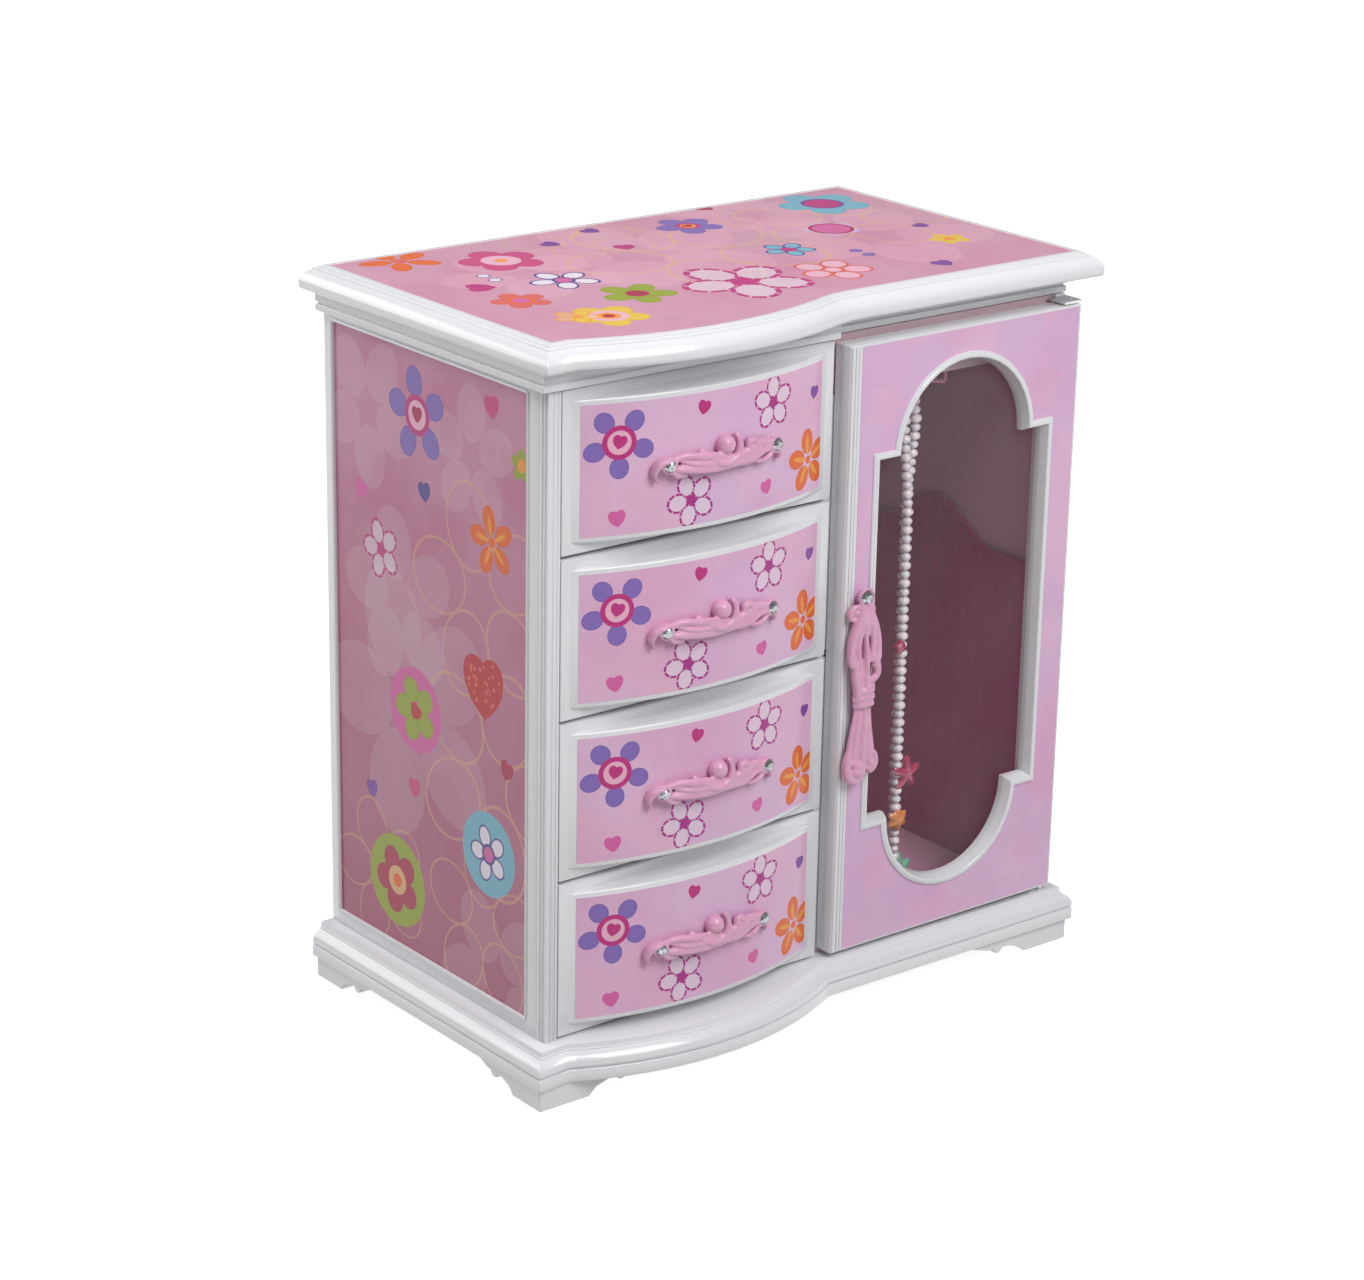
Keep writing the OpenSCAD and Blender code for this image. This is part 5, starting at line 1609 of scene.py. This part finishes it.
def make_door_pull():
    """Moulded bow with a knot and a pleated tail, and its rhinestone."""
    def place(u, v, out):
        return Vector(((18.5 + u) * MM, (-81.9 - out) * MM, (149.6 + v) * MM))
    parts = [ribbon(place, [(0, 37, 1.8), (0, 30, 2.6), (0, 24, 2.6), (0, 19.6, 2.2)],
                    [1.4, 2.0, 2.0, 1.0], 0.9)]
    for s, loop in ((-1, 1.0), (1, 0.45)):
        parts += [
            ribbon(place, [(s * 1.2, 38, 1.8), (s * 2.8, 33, 2.4), (s * 5.4, 27, 2.2), (s * 7.2, 20, 2.0),
                           (s * 7.0, 14, 2.2), (s * 4.8, 8.4, 2.4)], [1.5, 2.0, 2.2, 2.2, 2.1, 1.7], 0.8),
            ribbon(place, [(s * 0.8, 37, 2.6), (s * 1.9, 31, 3.2), (s * 3.4, 25, 3.2), (s * 4.0, 18.6, 2.8),
                           (s * 3.0, 11, 2.8)], [1.2, 1.5, 1.6, 1.6, 1.3], 0.9),
            ribbon(place, [(s * 1.5, 35.6, 1.4), (s * (1.5 + 4 * loop), 36.4, 1.5),
                           (s * (1.5 + 6.6 * loop), 33.8, 1.4), (s * (1.5 + 5.6 * loop), 31.2, 1.4),
                           (s * 2.4, 31.4, 1.4)], [1.0, 1.4, 1.6, 1.4, 0.8], 0.8),
            ribbon(place, [(s * 6.0, 21, 2.6), (s * 8.0, 16, 2.6), (s * 7.6, 11.6, 2.6),
                           (s * 5.0, 9.0, 2.8)],
                   [0.8, 1.3, 1.5, 1.0], 0.8)]
    parts += [
        ribbon(place, [(-4.8, 12, 2.2), (-4.9, 6, 2.8), (-3.9, 0, 2.8), (-3.2, -6, 2.4)],
               [1.7, 2.2, 2.1, 1.8], 0.9),
        ribbon(place, [(4.4, 14, 2.6), (6.6, 9, 3.0), (6.4, 4.6, 2.8), (2.6, 3.2, 3.4), (-1.2, 5.6, 3.2)],
               [1.8, 2.1, 2.0, 1.7, 0.8], 0.9),
        ribbon(place, [(0.8, 9.8, 1.8), (1.6, 3, 2.0), (1.6, -4, 2.2)], [1.4, 2.8, 2.6], 0.8),
        ribbon(place, [(0, 24, 0.9), (0.4, 12, 0.9), (0.4, 0, 0.9)], [3.4, 4.4, 4.2], 0.4),
        ribbon(place, [(-1.8, 10.6, 1.6), (-1.6, 4, 1.8), (-1.0, -4, 1.8)], [1.6, 1.9, 1.9], 0.9),
        ribbon(place, [(-2.4, 34, 1.2), (-6.4, 33.8, 1.2)], [1.7, 1.5], 0.8),
        ribbon(place, [(3.8, 4, 2.0), (4.4, 0, 2.2), (3.8, -6, 2.2)], [1.6, 2.0, 1.8], 0.9)]
    for v, half in ((-1.4, 5.2), (-4.4, 5.4), (-7.4, 5.0)):
        parts.append(ribbon(place, [(0.6 - half, v - 0.6, 1.2), (0.6 - half * 0.6, v, 3.1),
                                    (0.6, v + 0.2, 3.6),
                                    (0.6 + half * 0.6, v, 3.1), (0.6 + half, v - 0.6, 1.2)],
                            [1.3, 1.75, 1.8, 1.75, 1.3], 1.0))
    for k in range(7):
        t = (k - 3) / 3
        out = 2.7 - 1.1 * abs(t) + (1.0 if k % 2 else 0)
        parts.append(ribbon(place, [(0.4 + t * 3.4, -7, 2.0), (0.4 + t * 4.0, -14, out),
                                    (t * 5.2, -22, out),
                                    (t * 6.2, -29, out), (t * 6.6, -35, out - 0.6)],
                            [0.9, 1.0, 1.15, 1.3, 1.1], 1.2))
    parts += [
        ribbon(place, [(-6.4, -28, 1.8), (-8.0, -33.4, 2.2), (-7.0, -39.0, 2.2), (-3.0, -41.4, 2.2),
                       (0.4, -38.4, 2.6), (-0.4, -34.0, 3.0)], [1.4, 2.2, 2.4, 2.4, 2.0, 1.2], 0.9),
        ribbon(place, [(-6.2, -32.4, 2.8), (-2.6, -34.6, 3.6), (1.2, -33.0, 3.0)], [1.3, 2.1, 1.1], 0.9),
        ribbon(place, [(-5.4, -36.6, 2.4), (-3.2, -37.4, 3.0), (-1.0, -37.0, 2.6)], [2.6, 2.9, 2.6], 0.9),
        ribbon(place, [(3.2, -29, 2.4), (6.8, -31, 2.4), (7.6, -35.4, 2.2), (5.4, -38.2, 2.2),
                       (2.8, -35.6, 2.4)],
               [1.3, 1.9, 2.1, 2.0, 1.3], 0.9),
        ribbon(place, [(4.4, -33.0, 2.6), (5.4, -36.0, 2.6)], [1.8, 1.8], 0.9)]
    stone_at = place(0, 40, 2.6)
    cup = Matrix.Translation(place(0, 40, 0)) @ Matrix.Rotation(math.pi / 2, 4, "X")
    parts.append(lathe("cup", [(3.0 * MM, -0.2 * MM), (3.6 * MM, 1.4 * MM), (4.4 * MM, 2.6 * MM),
                               (3.8 * MM, 3.4 * MM), (3.1 * MM, 2.6 * MM), (0.0, 2.4 * MM)], cup, 24))
    for v in (38, -34):
        post = Matrix.Translation(place(0, v, 1)) @ Matrix.Rotation(-math.pi / 2, 4, "X")
        parts.append(lathe("post", [(2.2 * MM, 0.0), (2.2 * MM, 3.0 * MM)], post, 16))
    piece("door_bow", fused("door_bow", parts, 0.45 * MM, 2), "door", pull_plastic(), "pink_plastic",
          ["door_pull"], 80)
    piece("door_stone", gem("stone", stone_at, 3.1 * MM), "door", shelf("rhinestone", rhinestone),
          "pink_plastic", sharp=5)


# ------------------------------------------------------------------ soft goods


def make_tray():
    """Lift-out tray with its satin, divider and ring rolls."""
    dressed("tray_shell", "tray", board(), 0.4 * MM)
    dressed("tray_partitions", "tray_divider", shelf("divider satin", satin, "divider satin",
            tuple(c * 1.1 for c in colours().satin)), 0.5 * MM, 3)
    dressed("tray_satin", "tray_lining", pink_satin(), 0.2 * MM)
    rolls_low, rolls_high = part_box("ring_rolls")
    count, radius = 6, 7.5 * MM
    meshes = []
    for i in range(count):
        middle = rolls_low.y + radius + i * 15.6 * MM
        rings = []
        for k in range(41):
            t = k / 40
            x = rolls_low.x + (rolls_high.x - rolls_low.x) * t
            end = min(t, 1 - t) * 40
            swell = math.sin(min(end, 3) / 3 * math.pi / 2) ** 0.5 if end < 3 else 1.0
            ring = []
            for s in range(28):
                turn = 2 * math.pi * s / 28
                puff = 1 - 0.05 * noise.noise(Vector((x * 130, math.cos(turn) * 1.5 + i,
                                                      math.sin(turn) * 1.5)))
                pucker = 1 - 0.05 * (0.5 + 0.5 * math.cos(14 * turn)) * max(0, 1 - end / 5)
                r = radius * 0.97 * max(swell, 0.02) * puff * pucker
                ring.append(Vector((x, middle + r * math.cos(turn),
                                    max(rolls_low.z + radius + r * math.sin(turn),
                                        rolls_low.z + 0.5 * MM))))
            rings.append(ring)
        meshes.append(loft("roll", rings))
    rolls = piece("ring_cushions", joined("ring_cushions", meshes), "case",
                  shelf("roll satin", satin, "roll satin", tuple(min(1,
                                                                     c * 1.25) for c in colours().satin)),
                  slot_of("ring_rolls"), ["ring_rolls"], 70)


def pocket_top(y):
    """Height of the pocket's edge at a depth."""
    t = min(1.0, abs(y / MM + 5) / 36)
    return (178.0 + 8.5 * (1 + math.cos(math.pi * t))) * MM


def make_cabinet():
    """Flocked lining of the cabinet and the gathered necklace pocket."""
    dressed("cabinet_flock", "cabinet_lining", shelf("flock", flock, "flock", tuple(colours().flock)), 0)
    low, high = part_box("necklace_pocket")
    rows = []
    for i in range(121):
        y = low.y + (high.y - low.y) * i / 120
        top = pocket_top(y) - 0.6 * MM
        row = []
        for k in range(49):
            t = k / 48
            z = low.z + (top - low.z) * t
            drift = noise.noise(Vector((y * 30, z * 9, 0.3))) * 2.2
            gather = math.sin(y / MM * 0.8 + drift) * (0.08 + 0.2 * t ** 6) * MM
            belly = 2.4 * MM * math.sin(math.pi * min(1, t * 1.1)) * math.sin(math.pi * i / 120)
            fade = min(1.0, i / 5, (120 - i) / 5)
            row.append(Vector((high.x - 1.2 * MM + (gather - belly) * fade, y, z)))
        rows.append(row)
    finish = shelf("pocket satin", satin, "pocket satin", tuple(colours().pocket), 0.5)
    cloth = piece("pocket_cloth", skin("pocket", rows, 0.5 * MM), "case", finish,
                  slot_of("necklace_pocket"),
                  ["necklace_pocket"], 70)
    edge = [row[-1] + Vector((-0.2 * MM, 0, 0.3 * MM)) for row in rows[::2]]
    hem = loft("hem", tube_rings(edge, 1.1 * MM, 10, up=Vector((1, 0, 0))))
    hem = piece("pocket_hem", hem, "case", finish, slot_of("necklace_pocket"), sharp=70)
    area = grid_area(rows)


# -------------------------------------------------------------------- working


def make_carousel():
    """Necklace carousel with hooks, and its boss."""
    hook = shelf("hook plastic", plastic, "hook plastic", srgb("e7a3c0"))
    dressed("carousel_boss_turned", "carousel_boss", white(), 0.4 * MM)
    dressed("necklace_hooks", "necklace_carousel", hook, 0.3 * MM, 3)


def make_movement():
    """Wind-up movement and its key."""
    for name, node, finish in (("bedplate", "movement_bedplate", brass()),
                               ("comb", "movement_comb", steel()),
                               ("barrel_and_wheel", "spring_barrel", brass()),
                               ("drum_and_wheel", "pinned_drum", brass()),
                               ("fly_and_pinion", "governor_fly", brass()),
                               ("key_and_arbor", "winding_key", brass())):
        dressed(name, node, finish, 0.12 * MM, 2)


# The spring stands at STEM_X and bends from its fixed end to the ferrule
STEM_X, STEM_Y, STEM_Z, BEND = -64.4 * MM, 58.2 * MM, 283.6 * MM, 9.5 * MM
FEET_Y = 46.1 * MM


def make_dancer():
    """Dancer on her spring: figure, face, hair, bodice, slippers and net tutu."""
    def place(side, up, out):
        """side to her left, up along her body, out from her chest, in mm."""
        return Vector((STEM_X + side * MM, FEET_Y - up * MM, STEM_Z + BEND - out * MM))
    skin_paint = shelf("doll skin", plastic, "doll skin", srgb("edc3a6"), 0.4, 0.86, 0.1)
    pink_paint = shelf("bodice paint", plastic, "bodice paint", srgb("e77fae"), 0.3, 0.8, 0.3)
    hair_paint = shelf("hair paint", plastic, "hair paint", srgb("4a2a1c"), 0.35, 0.6, 0.2)
    face_paint = shelf("feature paint", plastic, "feature paint", srgb("3a2320"), 0.35, 0.7, 0.2)
    lip_paint = shelf("lip paint", plastic, "lip paint", srgb("c8485f"), 0.35, 0.8, 0.2)

    def body_ring(up, wide, deep, side=0.0, out=0.0, count=24):
        return [place(side + wide * math.cos(2 * math.pi * k / count), up,
                      out + deep * math.sin(2 * math.pi * k / count)) for k in range(count)]
    legs = []
    for s in (-1, 1):
        legs.append(loft("leg", [body_ring(up, r, r * 0.95, s * off, o) for up, r, off, o in (
            (0, 0.35, 0.5, 0), (1.0, 0.8, 0.6, 0), (3.5, 1.05, 0.8, 0.1), (8, 1.25, 1.0, -0.1),
            (12.5, 1.1, 1.0, 0.1), (16, 1.45, 1.2, 0.1), (20, 1.8, 1.35, 0), (23.4, 1.9, 1.3, 0))]))
    arms = []
    for s in (-1, 1):
        line = smooth_path([place(s * 3.0, 35.4, 0.2), place(s * 5.6, 38.0, 0.4), place(s * 5.8, 42.5, 0.8),
                            place(s * 3.6, 47.0, 0.8), place(s * 0.9, 49.0, 0.8)], 6)
        widths = [1.05 * MM - 0.55 * MM * i / (len(line) - 1) for i in range(len(line))]
        arms.append(loft("arm", tube_rings(line, widths, 12)))
    neck = loft("neck", [body_ring(up, w, d) for up, w, d in ((35.6, 2.6, 1.6), (36.8, 1.4, 1.3),
                                                              (38.4, 1.15, 1.15), (40.6, 1.3, 1.4))])
    head = loft("head", [body_ring(up, w, d, 0, o) for up, w, d, o in (
        (39.6, 0.4, 0.6, 0.9), (40.0, 1.5, 1.7, 0.6), (40.9, 2.3, 2.5, 0.3), (42.2, 2.9, 3.1, 0.1),
        (43.8, 3.15, 3.3, 0), (45.2, 2.9, 3.1, -0.1), (46.3, 2.1, 2.3, -0.2), (46.9, 0.6, 0.8, -0.2))])
    nose = loft("nose", [body_ring(up, w, 0.3, 0, o, 10) for up, w, o in (
        (42.2, 0.1, 3.1), (42.35, 0.34, 3.35), (43.1, 0.2, 3.3), (43.8, 0.08, 3.15))])
    flesh = fused("flesh", [*legs, *arms, neck, head, nose], 0.2 * MM, 1)
    piece("dancer_figure", flesh, "dancer", skin_paint, "doll_skin", ["ballerina_figure"], 80)
    bodice = loft("bodice", [body_ring(up, w, d) for up, w, d in (
        (21.8, 2.9, 2.2), (23.4, 3.3, 2.6), (25.4, 2.6, 2.1), (27.6, 2.15, 1.8), (30.4, 2.7, 2.2),
        (32.6, 3.0, 2.55), (34.2, 3.0, 2.2), (35.0, 2.5, 1.7))])
    slippers = [loft("slipper", [body_ring(up, r, r, s * off, o, 16) for up, r, off, o in (
        (-0.1, 0.3, 0.5, 0), (0.4, 0.75, 0.55, 0), (1.4, 1.0, 0.65, 0), (3.0, 1.15, 0.75, 0.1),
        (4.2, 1.15, 0.82, 0.0))]) for s in (-1, 1)]
    piece("bodice_and_slippers", joined("dress", [bodice, *slippers]), "dancer", pink_paint, "pink_plastic",
          sharp=60)
    cap = loft("hair", [body_ring(up, w, d, 0, o) for up, w, d, o in (
        (41.2, 2.1, 1.6, -1.6), (42.4, 3.05, 2.4, -1.0), (43.9, 3.35, 2.85, -0.75), (45.4, 3.15, 2.9, -0.5),
        (46.6, 2.3, 2.3, -0.4), (47.3, 1.3, 1.4, -0.5))])
    bun = loft("bun", [body_ring(up, w, w, 0, -1.4, 20) for up, w in (
        (46.4, 1.0), (46.9, 1.6), (47.7, 1.75), (48.5, 1.4), (49.0, 0.4))])
    piece("dancer_hair", joined("hair", [cap, bun]), "dancer", hair_paint, "doll_skin", sharp=70)
    eyes = []
    for s in (-1, 1):
        eyes.append(loft("eye", [body_ring(43.35, 0.48 * k, 0.12, s * 1.15, 2.98 + d, 12)
                                 for k, d in ((1, 0), (0.8, 0.06), (0.2, 0.1))]))
        eyes.append(loft("brow", tube_rings([place(s * 0.7, 44.2, 3.08), place(s * 1.2, 44.45, 2.98),
                                             place(s * 1.75, 44.25, 2.7)], 0.1 * MM, 8)))
    lids = [loft("lid", tube_rings([place(s * 0.72, 43.35, 3.08), place(s * 1.15, 43.62, 3.02),
                                    place(s * 1.62, 43.35, 2.78)], 0.13 * MM, 8)) for s in (-1, 1)]
    piece("dancer_eyes", joined("eyes", eyes + lids), "dancer", face_paint, "doll_skin", sharp=70)
    lips = loft("lips", tube_rings([place(-0.62, 41.5, 2.78), place(-0.2, 41.42, 2.98),
                                    place(0.2, 41.42, 2.98),
                                    place(0.62, 41.5, 2.78)], [0.06 * MM, 0.2 * MM, 0.2 * MM, 0.06 * MM],
                                   8))
    piece("dancer_lips", lips, "dancer", lip_paint, "doll_skin", sharp=70)
    make_tutu(place)
    dressed("spring_ferrule", "ballerina_ferrule", brass(), 0.1 * MM)
    make_spring()


def make_tutu(place):
    """Three layers of pleated net round the dancer's hips."""
    pleats = sizes().pleats
    layers = []
    total = 0.0
    for layer, (reach, lift, drop) in enumerate(((12.4, 23.6, 0.5), (11.6, 22.9, -0.6),
                                                 (10.4, 22.3, -1.5))):
        rows = []
        for i in range(9):
            t = i / 8
            row = []
            for k in range(pleats * 8 + 1):
                turn = 2 * math.pi * k / (pleats * 8)
                r = 2.7 + (reach - 2.7) * t
                wave = math.sin(pleats * turn + layer) * (0.15 + 0.75 * t)
                row.append(place(r * math.cos(turn), lift + drop * t * t + wave * 0.9, r * math.sin(turn)))
            rows.append(row)
        total += grid_area(rows)
        layers.append(skin("layer", rows, 0.12 * MM))
    net = piece("tutu_net", joined("tutu", layers), "dancer", shelf("pink net", tulle), "tulle",
                ["ballerina_tutu"], 70)


def make_spring():
    """Coil spring under the dancer, made bent as one fixed mesh; the real spring straightens as the lid
    lifts.
    """
    turns, steps, coil, wire = 7, 22, 2.3 * MM, 0.32 * MM
    line = []
    for i in range(turns * steps + 1):
        t = i / (turns * steps)
        a = t * math.pi / 2
        middle = Vector((STEM_X, STEM_Y - BEND * (1 - math.cos(a)), STEM_Z + BEND * math.sin(a)))
        ahead = Vector((0, -math.sin(a), math.cos(a)))
        side = Vector((1, 0, 0))
        lift = ahead.cross(side)
        spin = 2 * math.pi * turns * t
        line.append(middle + coil * (math.cos(spin) * side + math.sin(spin) * lift))
    mesh = loft("spring", tube_rings(line, wire, 8))
    spring = piece("dancer_spring", mesh, "case", steel(), slot_of("ballerina_spring"),
                   ["ballerina_spring"], 70, ride=False)
    tuple(line[0])
    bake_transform(spring)


HINGE_X, HINGE_SCREW_STEP = 89.6 * MM, 9 * MM
HINGE_SCREWS_Z = {"case": 292 * MM, "lid": 306.3 * MM}
BACK_SCREW_X, BACK_SCREWS_Z = 128 * MM, (35, 120, 200, 280)
REARWARD = Vector((0, 1, 0))


def make_hardware():
    """Screws of the hinges and of the back board."""
    for body, z in HINGE_SCREWS_Z.items():
        places = [Vector((x + dx, BACK_HIGH.y + 1.05 * MM, z)) for x in (-HINGE_X, HINGE_X)
                  for dx in (-HINGE_SCREW_STEP, HINGE_SCREW_STEP)]
        screws(f"{body}_hinge_screws", places, REARWARD, body)
    backs = [Vector((side * BACK_SCREW_X, BACK_HIGH.y + 0.05 * MM, z * MM)) for side in (-1, 1)
             for z in BACK_SCREWS_Z]
    screws("back_screws", backs, REARWARD, "case")


# --------------------------------------------------------------------- add-on

class JEWEL_OT_stage(bpy.types.Operator):
    """Camera, lamps, world and floor"""

    bl_idname = "jewel_box.stage"
    bl_label = "Stage"

    def execute(self, context):
        make_stage()
        return {"FINISHED"}


class JEWEL_OT_necklace(bpy.types.Operator):
    """Thread, beads and charms"""

    bl_idname = "jewel_box.necklace"
    bl_label = "Necklace"

    def execute(self, context):
        make_necklace()
        return {"FINISHED"}


class JEWEL_OT_base(bpy.types.Operator):
    """Moulded base and bracket feet"""

    bl_idname = "jewel_box.base"
    bl_label = "Base and feet"

    def execute(self, context):
        make_base()
        return {"FINISHED"}


class JEWEL_OT_sides(bpy.types.Operator):
    """Side panels, corner post, partition, back and shelves"""

    bl_idname = "jewel_box.sides"
    bl_label = "Case panels"

    def execute(self, context):
        make_sides()
        return {"FINISHED"}


class JEWEL_OT_lid(bpy.types.Operator):
    """Lid board with its moulded lip, printed top, rim and mirror"""

    bl_idname = "jewel_box.lid"
    bl_label = "Lid"

    def execute(self, context):
        make_lid()
        return {"FINISHED"}


class JEWEL_OT_drawers(bpy.types.Operator):
    """Four drawers: bowed fronts, boxes, linings, pulls and rhinestones"""

    bl_idname = "jewel_box.drawers"
    bl_label = "Drawers"

    def execute(self, context):
        make_drawers()
        return {"FINISHED"}


class JEWEL_OT_door(bpy.types.Operator):
    """Door board, printed panel, window bead, pane, retainer, pins and catch plate"""

    bl_idname = "jewel_box.door"
    bl_label = "Door"

    def execute(self, context):
        make_door()
        return {"FINISHED"}


class JEWEL_OT_door_pull(bpy.types.Operator):
    """Moulded bow with a knot and a pleated tail, and its rhinestone"""

    bl_idname = "jewel_box.door_pull"
    bl_label = "Door pull"

    def execute(self, context):
        make_door_pull()
        return {"FINISHED"}


class JEWEL_OT_tray(bpy.types.Operator):
    """Lift-out tray with its satin, divider and ring rolls"""

    bl_idname = "jewel_box.tray"
    bl_label = "Tray"

    def execute(self, context):
        make_tray()
        return {"FINISHED"}


class JEWEL_OT_cabinet(bpy.types.Operator):
    """Flocked lining of the cabinet and the gathered necklace pocket"""

    bl_idname = "jewel_box.cabinet"
    bl_label = "Cabinet lining"

    def execute(self, context):
        make_cabinet()
        return {"FINISHED"}


class JEWEL_OT_carousel(bpy.types.Operator):
    """Necklace carousel with hooks, and its boss"""

    bl_idname = "jewel_box.carousel"
    bl_label = "Carousel"

    def execute(self, context):
        make_carousel()
        return {"FINISHED"}


class JEWEL_OT_movement(bpy.types.Operator):
    """Wind-up movement and its key"""

    bl_idname = "jewel_box.movement"
    bl_label = "Movement"

    def execute(self, context):
        make_movement()
        return {"FINISHED"}


class JEWEL_OT_dancer(bpy.types.Operator):
    """Dancer on her spring: figure, face, hair, bodice, slippers and net tutu"""

    bl_idname = "jewel_box.dancer"
    bl_label = "Dancer"

    def execute(self, context):
        make_dancer()
        return {"FINISHED"}


class JEWEL_OT_hardware(bpy.types.Operator):
    """Screws of the hinges and of the back board"""

    bl_idname = "jewel_box.hardware"
    bl_label = "Screws"

    def execute(self, context):
        make_hardware()
        return {"FINISHED"}


# In the order of making
OPERATORS = (JEWEL_OT_stage, JEWEL_OT_necklace, JEWEL_OT_base, JEWEL_OT_sides, JEWEL_OT_lid,
             JEWEL_OT_drawers, JEWEL_OT_door, JEWEL_OT_door_pull, JEWEL_OT_tray, JEWEL_OT_cabinet,
             JEWEL_OT_carousel, JEWEL_OT_movement, JEWEL_OT_dancer, JEWEL_OT_hardware)


class JEWEL_PT_panel(bpy.types.Panel):
    """Lists the pieces of the jewellery box"""

    bl_label = "Jewellery Box"
    bl_idname = "JEWEL_PT_panel"
    bl_space_type = "VIEW_3D"
    bl_region_type = "UI"
    bl_category = "Jewellery Box"

    def draw(self, context):
        for group in (context.scene.jewel_box_sizes, context.scene.jewel_box_colours):
            for key in group.bl_rna.properties.keys():
                if key not in ("rna_type", "name"):
                    self.layout.prop(group, key)
        for operator in OPERATORS:
            self.layout.operator(operator.bl_idname)


CLASSES = (JewelBoxSizes, JewelBoxColours, *OPERATORS, JEWEL_PT_panel)


def register():
    """Makes the settings, operators and panel known."""
    for cls in CLASSES:
        bpy.utils.register_class(cls)
    bpy.types.Scene.jewel_box_sizes = PointerProperty(type=JewelBoxSizes)
    bpy.types.Scene.jewel_box_colours = PointerProperty(type=JewelBoxColours)


def unregister():
    """Takes them away again."""
    del bpy.types.Scene.jewel_box_colours
    del bpy.types.Scene.jewel_box_sizes
    for cls in reversed(CLASSES):
        bpy.utils.unregister_class(cls)


def main():
    """Makes every piece in order."""
    register()
    for operator in OPERATORS:
        getattr(bpy.ops.jewel_box, operator.bl_idname.split(".")[1])()


if __name__ == "__main__":
    main()
